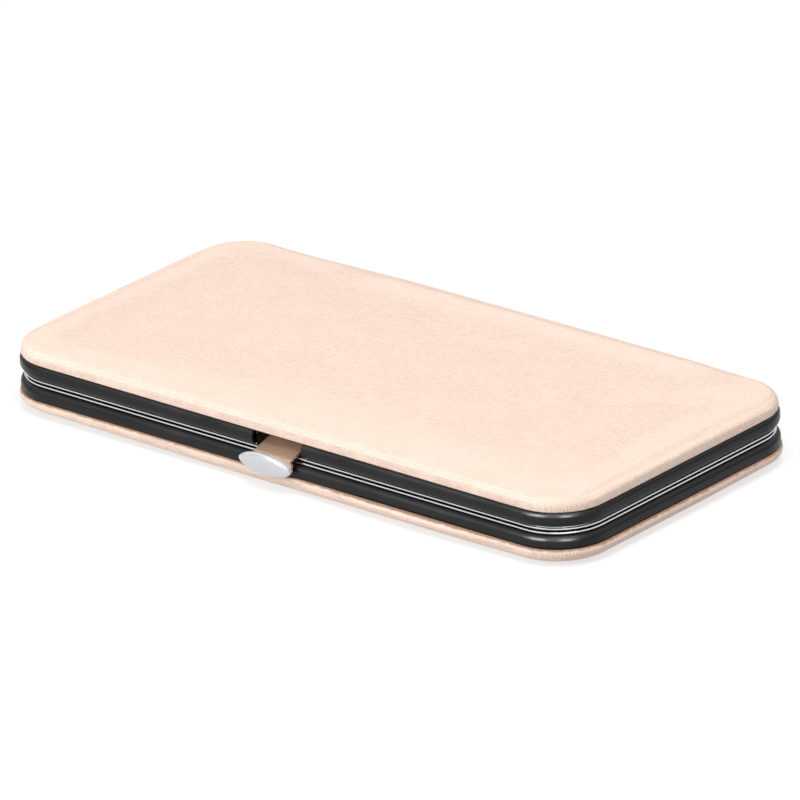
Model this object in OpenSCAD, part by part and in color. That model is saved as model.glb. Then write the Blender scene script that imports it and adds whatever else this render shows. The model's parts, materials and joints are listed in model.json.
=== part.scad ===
// Slim manicure set case: two padded covers on rolled metal frames, hinged at
// the back, with a sprung lift latch at the front and a set of tools inside.
// Every size is in millimetres. The case stands on its bottom cover at z = 0,
// its length runs along x, and the latch is on the -y side.

/* [Case] */
// Length over the frames
case_length = 180; // [174:1:200]
// Depth over the frames, latch side to hinge side
case_width = 89; // [86:1:100]
// Radius of the frames' outer corners in plan
corner_radius = 14; // [11:0.5:18]
// Height of each metal frame, from the parting plane to its cover
frame_height = 5; // [4.8:0.1:6]
// Thickness of each padded cover
cover_thickness = 3.7; // [3.4:0.1:5]

/* [Covers] */
// Thickness of the leatherette skin
skin_thickness = 0.6; // [0.4:0.1:0.9]
// Thickness of the greyboard panel that stiffens a cover
board_thickness = 1.5; // [1.2:0.1:1.8]
// How far a cover's side stands in from the frame's face
cover_inset = 0.3; // [0.1:0.1:0.6]
// Radius of a cover's padded edge
cover_edge_radius = 2.3; // [1.6:0.1:2.6]
// How much higher a cover is in the middle than at its edge
cover_crown = 0.35; // [0.1:0.05:0.6]

/* [Frames] */
// Sheet thickness of the black rolled channel
channel_wall = 0.6; // [0.4:0.05:0.7]
// Depth of the channel, from its face to the ends of its flanges
channel_depth = 1.6; // [1.5:0.05:1.65]
// Radius of the channel's shoulder beside the bright bead
shoulder_radius = 1.6; // [1:0.1:1.9]
// Radius of the channel's shoulder beside the cover
cover_shoulder_radius = 1.5; // [0.8:0.1:1.5]
// Sheet thickness of the bright inner rim
rim_wall = 0.5; // [0.4:0.05:0.6]
// Height of the bright bead that shows at the parting line
bead_height = 0.45; // [0.4:0.05:0.55]
// Gap between the two beads of the closed case
bead_gap = 0.6; // [0.3:0.05:0.8]
// How far the bead's nose stands in from the frame's face
bead_inset = 0.9; // [0.7:0.1:1.2]
// Width of the rim's foot under the lining
foot_width = 2; // [1.5:0.1:3]

/* [Lining] */
// Thickness of the card that carries a lining
card_thickness = 0.4; // [0.3:0.05:0.5]
// Thickness of the lining cloth with its backing
lining_thickness = 0.5; // [0.4:0.05:0.6]

/* [Hinges] */
// Distance of each hinge from the middle of the case
hinge_place = 55; // [40:1:62]
// Length of a hinge
hinge_length = 18; // [14:1:24]
// Radius of the hinge pin
hinge_pin_radius = 0.55; // [0.45:0.05:0.6]
// Outer radius of the knuckles
knuckle_radius = 1.25; // [1.15:0.05:1.3]
// How far the hinge axis stands out behind the frames
hinge_offset = 0.25; // [0.2:0.05:0.35]
// Sheet thickness of the hinge leaves
leaf_thickness = 0.45; // [0.35:0.05:0.5]

/* [Latch] */
// Width of the latch tongue
tongue_width = 11.6; // [10:0.2:12.4]
// Sheet thickness of the tongue
tongue_thickness = 0.6; // [0.45:0.05:0.7]
// Slope of the tongue when the case is shut, in degrees
tongue_slope = 17.4; // [15:0.2:18.4]
// Width of the gap in the upper frame
latch_gap = 15.4; // [14.4:0.2:18]
// Length of the oval thumb plate
thumb_length = 16.2; // [13:0.2:19]
// Height of the oval thumb plate
thumb_height = 5.4; // [4.8:0.1:7]
// Thickness of the thumb plate in its middle
thumb_thickness = 1.4; // [1:0.1:1.6]
// Sideways place of the thumb plate on its tongue
thumb_shift = -2; // [-2.4:0.1:2]
// Turn of the thumb plate about its rivets, in degrees
thumb_turn = 1; // [-4:0.5:4]
// How far the hook reaches under the lower bead
hook_reach = 0.5; // [0.3:0.05:0.55]
// Free height between the hook and the lower bead
hook_play = 0.75; // [0.7:0.05:0.9]

/* [Tools] */
// Free width between neighbouring tools
tool_gap = 6.2; // [5.6:0.1:6.4]
// Distance of the scissors' pivot from the right inner wall
scissors_room = 41; // [39:0.5:43]
// Width of the strap that holds the tools
strap_width = 8; // [6:0.5:9]
// Thickness of the strap
strap_thickness = 0.6; // [0.5:0.05:0.8]
// Length of the nail clipper
clipper_length = 54; // [48:1:58]
// Width of the nail clipper
clipper_width = 10; // [8:0.5:11]
// Length of the toenail clipper
toe_clipper_length = 60; // [54:1:62]
// Width of the toenail clipper
toe_clipper_width = 13; // [11:0.5:15]
// Length of the tweezers
tweezers_length = 72; // [60:1:76]
// Width of the tweezers
tweezers_width = 8.4; // [6:0.2:9]
// Length of the nail file with its handle
file_length = 76; // [70:1:78]
// Width of the nail file's handle
file_width = 8.4; // [7:0.2:9]
// Length of the cuticle trimmer with its handle
trimmer_length = 72; // [66:1:76]
// Width of the cuticle trimmer's handle
trimmer_width = 7.6; // [6:0.2:8.4]
// Length of the cuticle pusher
pusher_length = 74; // [66:1:78]
// Radius of the cuticle pusher's round shank
pusher_radius = 1.6; // [1.2:0.1:1.9]
// Inner radius of the scissors' finger rings
ring_radius = 8; // [7:0.1:8.6]
// Length of the scissor blades, pivot to point
blade_length = 27; // [22:1:28]
// Sheet thickness of each half of the scissors
blade_thickness = 1.3; // [1:0.1:1.4]

/* [Hidden] */
$fn = 64;
big_fn = 128;
eps = 0.01;
// Glue line between the layers of a cover, and the play of a rivet in its hole
glue_gap = 0.05;
// Radial play of a pin that turns in its bore
pin_play = 0.05;
// Play beside and over a tool in its loop
loop_play = 0.2;

parting_z = cover_thickness + frame_height;

// Channel and rim, as distance h from the parting plane and depth d from the face
bead_start = bead_gap / 2;
bead_top = bead_start + bead_height;
channel_start = bead_top + 0.25;
rim_face = channel_depth + 0.1;
rim_inside = rim_face + rim_wall;
foot_end = rim_inside + foot_width;

// Lining
lining_inset = rim_inside + 0.1;
card_inset = foot_end + 0.1;
lining_top = frame_height - card_thickness - lining_thickness;
bed_z = parting_z - lining_top;
inner_length = case_length - 2 * rim_inside;
inner_width = case_width - 2 * rim_inside;

// Cover profile
foam_top = cover_thickness - skin_thickness - glue_gap;
crown_run = corner_radius - cover_inset - cover_edge_radius;
crown_radius = (crown_run * crown_run + cover_crown * cover_crown) / (2 * cover_crown);
skin_inner_radius = cover_edge_radius - skin_thickness;
skin_bend = cover_thickness - skin_thickness - cover_crown - skin_inner_radius;
board_rise = max(0, board_thickness - skin_bend);
board_inset = cover_inset + skin_thickness + glue_gap + skin_inner_radius
    - sqrt(skin_inner_radius * skin_inner_radius - board_rise * board_rise);

// Hinges
hinge_side_play = 0.2;
hinge_notch_play = 0.4;
knuckle_length = hinge_length / 3;
leaf_place = channel_wall + glue_gap;
leaf_start = knuckle_radius + 0.1;
leaf_end = frame_height - cover_shoulder_radius;
// The notch takes off the shoulder as far as it would meet the leaf
shoulder_inside = shoulder_radius - channel_wall;
hinge_notch_height = channel_start + shoulder_radius + glue_gap
    - sqrt(shoulder_inside * shoulder_inside - pow(shoulder_inside - glue_gap, 2));
hinge_rivet_radius = 0.45;
hinge_rivet_head = 0.8;
hinge_rivet_height = (hinge_notch_height + leaf_end) / 2;

// Latch: pivot at depth latch_pivot_d and height latch_pivot_h
latch_pivot_d = 6.2;
latch_pivot_h = 2.3;
latch_pin_radius = 0.45;
eye_radius = latch_pin_radius + pin_play + 0.45;
front_plate_d = -1.6;
front_plate_low = bead_top + hook_play + tongue_thickness;
tongue_run = (latch_pivot_d - front_plate_d) / cos(tongue_slope);
hook_width = 9;
hook_notch_play = 0.8;
ear_thickness = 0.5;
ear_place = tongue_width / 2 + 0.3;
bracket_thickness = 0.5;
bracket_start = latch_pivot_d + 1.8;
bracket_depth = 6.5;
bracket_rivet_radius = 0.8;
bracket_rivet_place = 4.2;
bracket_rivet_d = bracket_start + bracket_depth / 2;
spring_thickness = 0.2;
spring_width = 4;
thumb_rivet_radius = 0.55;
thumb_rivet_place = 3;
thumb_rivet_h = -0.6;
thumb_middle_h = -1.9;
thumb_rim = 0.8;
thumb_flange = 0.45;

// Tools: places of their middles, from the left and right inner walls
pusher_x = -inner_length / 2 + tool_gap + pusher_radius;
trimmer_x = pusher_x + pusher_radius + tool_gap + trimmer_width / 2;
file_x = trimmer_x + trimmer_width / 2 + tool_gap + file_width / 2;
tweezers_x = file_x + file_width / 2 + tool_gap + tweezers_width / 2;
clipper_x = tweezers_x + tweezers_width / 2 + tool_gap + clipper_width / 2;
toe_clipper_x = clipper_x + clipper_width / 2 + tool_gap + toe_clipper_width / 2;
scissors_x = inner_length / 2 - scissors_room;
strap_y = 12.5;

// Clippers: profile heights above the lining
clip_head = 0.5;
clip_sheet = 1.1;
clip_lip_low = 2.3;
clip_lip_high = 3.3;
clip_jaw_top = 5;
clip_lever_top = 6.9;
clip_lever_sheet = 1.1;
clip_pin_radius = 1;
clip_pin_y = 6.8;
clip_pin_head = 1.9;
clip_rivet_y = 5;
clip_front = -28;
clip_lever_over = 1.5;
clip_lever_rear = 4.6;

// Tweezers
tweezers_sheet = 1;
tweezers_gap = 2.4;
tweezers_mid = tweezers_sheet + tweezers_gap / 2;

// File and trimmer handles
handle_height = 3.4;
file_handle_length = 32;
file_blade_width = 6.4;
file_blade_sheet = 1;
trimmer_handle_length = 44;
trimmer_blade_sheet = 1;
tang_length = 10;

// Scissors
ring_wire = 1.35;
ring_x = ring_radius + ring_wire * 2 + 0.6;
ring_y = 38;
scissors_y = -(ring_y + ring_radius + 2 * ring_wire - blade_length) / 2;
scissors_low = bed_z + 0.4;
scissors_gap = 0.1;
scissors_high = scissors_low + blade_thickness + scissors_gap;
screw_radius = 1.2;
shank_half = 1.9;
shank_top_y = ring_y - ring_radius - ring_wire * 2 + 2;
shank_foot_y = 3;

function shank_x(y) = -(ring_x - 3.2) * (y - shank_foot_y) / (shank_top_y - shank_foot_y);

strap_low = strap_y - strap_width / 2;
strap_high = strap_y + strap_width / 2;

// Height of a clipper's lever over the lining, at a distance y from the jaws
function lever_top(length, y) =
    clip_lever_top + (clip_lever_rear - clip_lever_top) * (y - 9) / (length + clip_lever_over - 9);
// Half the tweezers' height at a distance y from their points
function tweezers_half(y) =
    tweezers_mid - (tweezers_mid - tweezers_sheet) * max(0, y - tweezers_length / 2) / (tweezers_length / 2);

shank_left = scissors_x + shank_x(strap_high - scissors_y) - shank_half;
shank_right = scissors_x + shank_x(strap_low - scissors_y) + shank_half;

// What the strap goes over: middle, width and height of each tool there
LOOPS = [
    [pusher_x, 2 * pusher_radius, 2 * pusher_radius],
    [trimmer_x, trimmer_width, handle_height],
    [file_x, file_width, handle_height],
    [tweezers_x, tweezers_width, 2 * tweezers_mid],
    [clipper_x, clipper_width, lever_top(clipper_length, strap_low - clip_front)],
    [toe_clipper_x, toe_clipper_width, lever_top(toe_clipper_length, strap_low - clip_front)],
    [(shank_left + shank_right) / 2, shank_right - shank_left, scissors_low + blade_thickness - bed_z]
];
strap_left = -inner_length / 2 + 1.6;
strap_right = shank_right + loop_play + strap_thickness + 4;
strap_rivet_radius = 0.6;
strap_rivet_head = 1.1;
// A rivet stands halfway between neighbouring loops, and beyond the first and the last
function loop_edge(i, side) = LOOPS[i][0] + side * (LOOPS[i][1] / 2 + loop_play + strap_thickness);
STRAP_RIVETS = concat(
    [for (i = [0 : len(LOOPS) - 2]) (loop_edge(i, 1) + loop_edge(i + 1, -1)) / 2],
    [strap_right - 2]
);

// Places

// Both halves are drawn upwards from the parting plane: the lower one is turned over
module upper() translate([0, 0, parting_z]) children();
module lower() translate([0, 0, parting_z]) mirror([0, 0, 1]) children();
module at_back() mirror([0, 1, 0]) children();
module on_bed(x, y) translate([x, y, bed_z]) children();

// A profile drawn as depth and height, run straight along the front from x0 to x1
module front_run(x0, x1)
    translate([x0, -case_width / 2, 0]) rotate([90, 0, 90]) linear_extrude(x1 - x0) children();

// A profile drawn as depth and height, run round the whole outline of the case
module run_round() {
    long = case_length / 2 - corner_radius;
    deep = case_width / 2 - corner_radius;
    for (side = [0 : 3]) {
        half = side % 2 == 0 ? long : deep;
        out = side % 2 == 0 ? case_width / 2 : case_length / 2;
        rotate([0, 0, 90 * side]) translate([-half, -out, 0])
            rotate([90, 0, 90]) linear_extrude(2 * half) children();
    }
    for (corner = [[1, -1, -90], [1, 1, 0], [-1, 1, 90], [-1, -1, 180]])
        translate([corner[0] * long, corner[1] * deep, 0]) rotate([0, 0, corner[2]])
            rotate_extrude(angle = 90, $fn = big_fn) intersection() {
                translate([corner_radius, 0]) mirror([1, 0]) children();
                translate([0, -case_width / 2]) square([2 * corner_radius, case_width]);
            }
}

// The middle of the case, inside the corner circles
module middle_block(low, high)
    translate([-case_length / 2 + corner_radius, -case_width / 2 + corner_radius, low])
        cube([case_length - 2 * corner_radius, case_width - 2 * corner_radius, high - low]);

// Outline of the case, drawn in by inset
module case_outline(inset) {
    r = corner_radius - inset;
    long = case_length / 2 - corner_radius;
    deep = case_width / 2 - corner_radius;
    square([2 * long, 2 * (deep + r)], center = true);
    square([2 * (long + r), 2 * deep], center = true);
    for (x = [-long, long], y = [-deep, deep]) translate([x, y]) circle(r, $fn = big_fn);
}

// What rounding takes off a square corner at the origin
module corner_cut(r) difference() {
    translate([-eps, -eps]) square(r + eps);
    translate([r, r]) circle(r);
}

// Covers

// Filled profile of a cover, drawn in by inset, with its height from the frame
module cover_profile(inset) {
    side = cover_inset + inset;
    top = cover_thickness - inset;
    r = cover_edge_radius - inset;
    intersection() {
        difference() {
            square([corner_radius, top]);
            translate([-eps, -eps]) square([side + eps, top + 2 * eps]);
            translate([side, top - cover_crown]) mirror([0, 1]) corner_cut(r);
            translate([side - eps, top - cover_crown]) square([r, cover_crown + eps]);
        }
        translate([corner_radius, top - crown_radius]) circle(crown_radius, $fn = 720);
    }
}

module cover_skin() {
    translate([0, 0, frame_height]) {
        run_round() difference() {
            cover_profile(0);
            cover_profile(skin_thickness);
        }
        middle_block(cover_thickness - skin_thickness, cover_thickness);
    }
}

module cover_foam() {
    low = board_thickness + glue_gap;
    translate([0, 0, frame_height]) {
        run_round() difference() {
            cover_profile(skin_thickness + glue_gap);
            square([corner_radius + eps, low]);
        }
        middle_block(low, foam_top);
    }
}

module cover_board() translate([0, 0, frame_height]) linear_extrude(board_thickness)
    case_outline(board_inset);

// Metal frames

// Filled profile of the black channel, drawn in by inset
module channel_fill(inset) {
    low = channel_start + inset;
    high = frame_height - inset;
    difference() {
        translate([inset, low]) square([channel_depth - inset + (inset > 0 ? eps : 0), high - low]);
        translate([inset, low]) corner_cut(shoulder_radius - inset);
        translate([inset, high]) mirror([0, 1]) corner_cut(cover_shoulder_radius - inset);
    }
}

module channel() run_round() difference() {
    channel_fill(0);
    channel_fill(channel_wall);
}

// Profile of the bright rim: rounded bead, wall and foot
module rim_profile() {
    r = bead_height / 2;
    translate([bead_inset + r, bead_start]) square([rim_inside - bead_inset - r, bead_height]);
    translate([bead_inset + r, bead_start + r]) circle(r);
    translate([rim_face, bead_start]) square([rim_wall, frame_height - bead_start]);
    translate([rim_face, frame_height - card_thickness]) square([foot_end - rim_face, card_thickness]);
}

// Room for both hinges in a frame: from depth 0 to deep, from the parting plane to high
module hinge_notches(deep, high) at_back() for (side = [-1, 1])
    translate([side * hinge_place - hinge_length / 2 - hinge_notch_play, -case_width / 2 - 1, -eps])
        cube([hinge_length + 2 * hinge_notch_play, deep + 1, high + eps]);

// Holes for the rivets of both hinges
module hinge_rivet_row(r, d0, d1) at_back() for (side = [-1, 1], end = [-1, 1])
    translate([side * hinge_place + end * knuckle_length, -case_width / 2 + d0, hinge_rivet_height])
        rotate([-90, 0, 0]) cylinder(r = r, h = d1 - d0);

module black_frame() difference() {
    channel();
    hinge_notches(channel_depth + eps, hinge_notch_height);
    hinge_rivet_row(hinge_rivet_radius + glue_gap, -eps, channel_wall + eps);
}

module bright_rim() difference() {
    run_round() rim_profile();
    hinge_notches(rim_face - 0.05, bead_top + eps);
}

// Linings

module card() translate([0, 0, frame_height - card_thickness])
    linear_extrude(card_thickness) case_outline(card_inset);

module lining() translate([0, 0, lining_top])
    linear_extrude(lining_thickness) case_outline(lining_inset);

// Hinges

// One leaf: knuckles from the list KN of x ranges, joined to a plate inside the channel
module hinge_leaf(place, KN) at_back() translate([place, 0, 0]) {
    front_run(-hinge_length / 2, hinge_length / 2)
        translate([leaf_place, leaf_start])
            square([leaf_thickness, leaf_end - leaf_start]);
    for (k = KN) front_run(k[0], k[1]) difference() {
        union() {
            translate([-hinge_offset, 0]) circle(knuckle_radius);
            translate([-hinge_offset, knuckle_radius - leaf_thickness])
                square([hinge_offset + leaf_place + leaf_thickness, leaf_thickness]);
            translate([leaf_place, knuckle_radius - leaf_thickness])
                square([leaf_thickness, leaf_start - knuckle_radius + leaf_thickness]);
        }
        translate([-hinge_offset, 0]) circle(hinge_pin_radius + pin_play);
    }
}

module drilled_leaf(place, KN) difference() {
    hinge_leaf(place, KN);
    hinge_rivet_row(hinge_rivet_radius + glue_gap, leaf_place - eps, leaf_place + leaf_thickness + eps);
}

OUTER_KNUCKLES = [
    [-hinge_length / 2, -knuckle_length / 2],
    [knuckle_length / 2, hinge_length / 2]
];
MIDDLE_KNUCKLE = [[-knuckle_length / 2 + hinge_side_play, knuckle_length / 2 - hinge_side_play]];

module base_leaf(place) color("silver") lower() drilled_leaf(place, OUTER_KNUCKLES);
module lid_leaf(place) color("silver") upper() drilled_leaf(place, MIDDLE_KNUCKLE);

module hinge_pin(place) color("silver")
    translate([place - hinge_length / 2, case_width / 2 + hinge_offset, parting_z]) rotate([0, 90, 0]) {
        cylinder(r = hinge_pin_radius, h = hinge_length);
        for (z = [-0.25, hinge_length]) translate([0, 0, z]) cylinder(r = hinge_pin_radius + 0.3, h = 0.25);
    }

module hinge_rivets() {
    leaf_face = leaf_place + leaf_thickness;
    hinge_rivet_row(hinge_rivet_radius, 0.02, leaf_face);
    hinge_rivet_row(hinge_rivet_head, leaf_face, leaf_face + 0.3);
}

// Case pieces

module bottom_cover_skin() color("#f8dfd0") lower() cover_skin();
module bottom_cover_foam() color("#f4efe2") lower() cover_foam();
module bottom_cover_board() color("#9b948a") lower() cover_board();
module top_cover_skin() color("#f8dfd0") upper() cover_skin();
module top_cover_foam() color("#f4efe2") upper() cover_foam();

module top_cover_board() color("#9b948a") upper() difference() {
    cover_board();
    bracket_rivet_row(bracket_rivet_radius + glue_gap, 0, frame_height + 1);
}

// The lower frame has a slot behind the thumb plate, for the hook
module lower_frame() color("#2b2b2d") lower() difference() {
    black_frame();
    translate([-hook_width / 2 - hook_notch_play, -case_width / 2 - eps, 0])
        cube([hook_width + 2 * hook_notch_play, channel_depth + 2 * eps,
              front_plate_low + hook_notch_play]);
}

// The upper frame stops on both sides of the latch
module upper_frame() color("#2b2b2d") upper() difference() {
    black_frame();
    translate([-latch_gap / 2, -case_width / 2 - eps, 0])
        cube([latch_gap, channel_depth + 2 * eps, frame_height + eps]);
}

module lower_rim() color("#d8d8da") lower() bright_rim();

// The upper rim is open above its bead, where the tongue comes out
module upper_rim() color("#d8d8da") upper() difference() {
    bright_rim();
    translate([-latch_gap / 2, -case_width / 2, bead_top + eps])
        cube([latch_gap, card_inset, frame_height]);
}

module base_lining_card() color("#6f6a63") lower() difference() {
    card();
    strap_rivet_holes();
}

module base_lining() color("#efe0d2") lower() difference() {
    lining();
    strap_rivet_holes();
}

module lid_lining_card() color("#6f6a63") upper() difference() {
    card();
    bracket_rivet_row(bracket_rivet_radius + glue_gap, 0, frame_height + 1);
}

module lid_lining() color("#efe0d2") upper() difference() {
    lining();
    bracket_rivet_row(bracket_rivet_radius + glue_gap, 0, frame_height + 1);
}

// Latch

// The tongue's rest line runs from its eye on the pivot pin down to the front plate
module tongue_profile() {
    translate([latch_pivot_d, latch_pivot_h]) {
        circle(eye_radius);
        rotate(tongue_slope) translate([-tongue_run, eye_radius - tongue_thickness])
            square([tongue_run, tongue_thickness]);
    }
}

function tongue_top(d) = latch_pivot_h + eye_radius / cos(tongue_slope)
    - (latch_pivot_d - d) * tan(tongue_slope);

module latch_tongue() color("#dcdcde") upper() difference() {
    union() {
        difference() {
            front_run(-tongue_width / 2, tongue_width / 2) tongue_profile();
            // The sloping plate ends at the front plate's face
            translate([-tongue_width, -case_width / 2 + front_plate_d - 3, -5])
                cube([2 * tongue_width, 3, 10]);
        }
        // The front plate follows the oval and stands out a little around it
        intersection() {
            front_run(-tongue_width / 2, tongue_width / 2)
                translate([front_plate_d, -front_plate_low])
                    square([tongue_thickness, front_plate_low + tongue_top(front_plate_d) - 0.1]);
            translate([thumb_shift, -case_width / 2 + front_plate_d - eps, thumb_middle_h])
                rotate([-90, 0, 0]) scale([thumb_length / thumb_height, 1, 1])
                    cylinder(r = thumb_height / 2 + thumb_flange, h = tongue_thickness + 2 * eps);
        }
        front_run(-hook_width / 2, hook_width / 2)
            translate([front_plate_d, -front_plate_low])
                square([bead_inset + hook_reach - front_plate_d, tongue_thickness]);
    }
    front_run(-tongue_width, tongue_width)
        translate([latch_pivot_d, latch_pivot_h]) circle(latch_pin_radius + pin_play);
    thumb_rivet_row(thumb_rivet_radius + glue_gap, front_plate_d - eps, front_plate_d + tongue_thickness + eps);
}

module thumb_rivet_row(r, d0, d1) for (side = [-1, 1])
    translate([thumb_shift / 2 + side * thumb_rivet_place, -case_width / 2 + d0, thumb_rivet_h])
        rotate([-90, 0, 0]) cylinder(r = r, h = d1 - d0);

module thumb_plate_rivets() color("#c8c8ca") upper() {
    inner = front_plate_d + tongue_thickness;
    thumb_rivet_row(thumb_rivet_radius, front_plate_d, inner);
    thumb_rivet_row(thumb_rivet_radius + 0.3, inner, inner + 0.3);
}

// Domed oval plate: rings of points from its flat back to the middle of its face
thumb_sides = 48;
THUMB_RINGS = [
    [1, 0], [1, thumb_rim], [0.965, thumb_rim + 0.25 * (thumb_thickness - thumb_rim)],
    [0.9, thumb_rim + 0.48 * (thumb_thickness - thumb_rim)],
    [0.75, thumb_rim + 0.72 * (thumb_thickness - thumb_rim)],
    [0.5, thumb_rim + 0.9 * (thumb_thickness - thumb_rim)],
    [0.2, thumb_thickness]
];
thumb_count = len(THUMB_RINGS);
module thumb_plate() color("#e2e2e4") upper()
    translate([thumb_shift, -case_width / 2 + front_plate_d, thumb_middle_h]) rotate([0, thumb_turn, 0])
        polyhedron(
            points = [
                for (ring = THUMB_RINGS, i = [0 : thumb_sides - 1])
                    [ring[0] * thumb_length / 2 * cos(360 * i / thumb_sides),
                     -ring[1],
                     ring[0] * thumb_height / 2 * sin(360 * i / thumb_sides)
                         * pow(abs(sin(360 * i / thumb_sides)), 0.12)]
            ],
            faces = concat(
                [[for (i = [0 : thumb_sides - 1]) thumb_sides - 1 - i]],
                [for (k = [0 : thumb_count - 2], i = [0 : thumb_sides - 1]) each [
                    [k * thumb_sides + i, k * thumb_sides + (i + 1) % thumb_sides,
                     (k + 1) * thumb_sides + (i + 1) % thumb_sides],
                    [k * thumb_sides + i, (k + 1) * thumb_sides + (i + 1) % thumb_sides,
                     (k + 1) * thumb_sides + i]
                ]],
                [[for (i = [0 : thumb_sides - 1]) (thumb_count - 1) * thumb_sides + i]]
            ));

module bracket_rivet_row(r, low, high) for (side = [-1, 1])
    translate([side * bracket_rivet_place, -case_width / 2 + bracket_rivet_d, low])
        cylinder(r = r, h = high - low);

module latch_bracket() color("#c8c8ca") upper() difference() {
    plate_low = lining_top - bracket_thickness;
    union() {
        front_run(-ear_place - ear_thickness, ear_place + ear_thickness)
            translate([bracket_start, plate_low]) square([bracket_depth, bracket_thickness]);
        for (side = [-1, 1]) {
            x0 = side > 0 ? ear_place : -ear_place - ear_thickness;
            front_run(x0, x0 + ear_thickness) {
                translate([latch_pivot_d, latch_pivot_h]) circle(eye_radius);
                translate([latch_pivot_d, latch_pivot_h - eye_radius])
                    square([bracket_start + 2 - latch_pivot_d, lining_top - latch_pivot_h + eye_radius]);
            }
        }
    }
    front_run(-tongue_width, tongue_width)
        translate([latch_pivot_d, latch_pivot_h]) circle(latch_pin_radius + pin_play);
    bracket_rivet_row(bracket_rivet_radius + glue_gap, plate_low - eps, lining_top + eps);
}

// The rivets hold the spring and the bracket against the cover's board
module latch_bracket_rivets() color("#c8c8ca") upper() {
    seat = lining_top - bracket_thickness - spring_thickness;
    bracket_rivet_row(bracket_rivet_radius, seat, frame_height + 1);
    bracket_rivet_row(bracket_rivet_radius + 0.6, seat - 0.4, seat);
}

module latch_pivot_pin() color("#c8c8ca") upper() {
    reach = ear_place + ear_thickness;
    front_run(-reach, reach) translate([latch_pivot_d, latch_pivot_h]) circle(latch_pin_radius);
    for (x = [-reach - 0.25, reach]) front_run(x, x + 0.25)
        translate([latch_pivot_d, latch_pivot_h]) circle(latch_pin_radius + 0.25);
}

// Flat spring: its root lies under the bracket, its tip presses on the tongue
module latch_spring() color("#9aa0a6") upper() {
    root = lining_top - bracket_thickness;
    bend_d = latch_pivot_d - 0.3;
    tip_d = latch_pivot_d - 1.9;
    tip_h = tongue_top(tip_d) + 0.05;
    root_d = bracket_start + 1.2;
    root_half = bracket_rivet_place + 1.2;
    front_run(-spring_width / 2, spring_width / 2) polygon([
        [root_d, root - spring_thickness], [root_d, root], [bend_d, root],
        [tip_d, tip_h + spring_thickness], [tip_d - 0.4, tip_h + 2 * spring_thickness],
        [tip_d - 0.4, tip_h + spring_thickness], [tip_d, tip_h], [bend_d, root - spring_thickness]
    ]);
    difference() {
        front_run(-root_half, root_half) translate([root_d, root - spring_thickness])
            square([bracket_start + bracket_depth - 0.6 - root_d, spring_thickness]);
        bracket_rivet_row(bracket_rivet_radius + glue_gap, root - 1, root + 1);
    }
}

// Strap

module strap_rivet_holes() for (x = STRAP_RIVETS)
    translate([x, strap_y, 0]) cylinder(r = strap_rivet_radius + glue_gap, h = frame_height + 1);

// One rounded arch over a tool, grown by grow on its sides and top
module arch(loop, grow) {
    w = loop[1] + 2 * grow;
    h = loop[2] + grow;
    r = min(0.3 + grow, h / 2, w / 2);
    translate([loop[0] - w / 2, 0]) difference() {
        square([w, h]);
        translate([0, h]) mirror([0, 1]) corner_cut(r);
        translate([w, h]) rotate(180) corner_cut(r);
    }
}

module tool_strap() color("#f3d9c9") difference() {
    translate([0, strap_high, bed_z]) rotate([90, 0, 0]) linear_extrude(strap_width) difference() {
        union() {
            translate([strap_left, 0]) square([strap_right - strap_left, strap_thickness]);
            for (loop = LOOPS) arch(loop, loop_play + strap_thickness);
        }
        for (loop = LOOPS) arch(loop, loop_play);
    }
    for (x = STRAP_RIVETS) translate([x, strap_y, bed_z - eps])
        cylinder(r = strap_rivet_radius + glue_gap, h = strap_thickness + 2 * eps);
}

module strap_rivets() color("#d8d8da") for (x = STRAP_RIVETS) translate([x, strap_y, bed_z]) {
    translate([0, 0, -lining_thickness - card_thickness])
        cylinder(r = strap_rivet_radius, h = lining_thickness + card_thickness + strap_thickness);
    translate([0, 0, strap_thickness]) cylinder(r1 = strap_rivet_head, r2 = strap_rivet_head * 0.7, h = 0.35);
}

// Long tools. Each lies along y, with its working end towards the latch

module side_profile(width) translate([-width / 2, 0, 0]) rotate([90, 0, 90]) linear_extrude(width) children();

module cuticle_pusher() color("#d4d6d8") on_bed(pusher_x, -pusher_length / 2) {
    spoon = 14;
    pick = 13;
    blade = 1;
    middle = pusher_radius;
    translate([0, spoon - 3, middle]) rotate([-90, 0, 0])
        cylinder(r = pusher_radius, h = pusher_length - spoon - pick + 6);
    // Curved spoon that pushes the cuticle back
    intersection() {
        linear_extrude(2 * middle) union() {
            translate([0, 2.6]) circle(2.6);
            polygon([[-2.6, 2.6], [2.6, 2.6], [1.3, spoon], [-1.3, spoon]]);
        }
        side_profile(8) polygon([
            [0, middle - 0.9], [0, middle - 0.5], [6, middle + 0.35], [spoon, middle + blade / 2],
            [spoon, middle - blade / 2], [6, middle - 0.55], [2, middle - 0.95]
        ]);
    }
    // Flat pick for cleaning under the nail
    translate([0, 0, middle - blade / 2]) linear_extrude(blade) polygon([
        [-1.4, pusher_length - pick], [1.4, pusher_length - pick],
        [2, pusher_length - 5], [0.4, pusher_length], [-0.4, pusher_length], [-2, pusher_length - 5]
    ]);
}

// Moulded handle with round ends: its profile is extruded across and cut by its plan
module handle(width, length, height, neck) intersection() {
    side_profile(width) difference() {
        square([length, height]);
        corner_cut(1);
        translate([0, height]) mirror([0, 1]) corner_cut(1);
        translate([length, 0]) mirror([1, 0]) corner_cut(0.8);
        translate([length, height]) rotate(180) corner_cut(0.8);
    }
    linear_extrude(height) union() {
        polygon([
            [-neck / 2, 0], [neck / 2, 0], [width / 2, length * 0.35],
            [width / 2, length - width / 2], [-width / 2, length - width / 2], [-width / 2, length * 0.35]
        ]);
        translate([0, length - width / 2]) circle(width / 2);
    }
}

module tang_slot(width, sheet, length) translate([-width / 2 - glue_gap, -eps, handle_height / 2 - sheet / 2 - glue_gap])
    cube([width + 2 * glue_gap, length + glue_gap + eps, sheet + 2 * glue_gap]);

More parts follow.
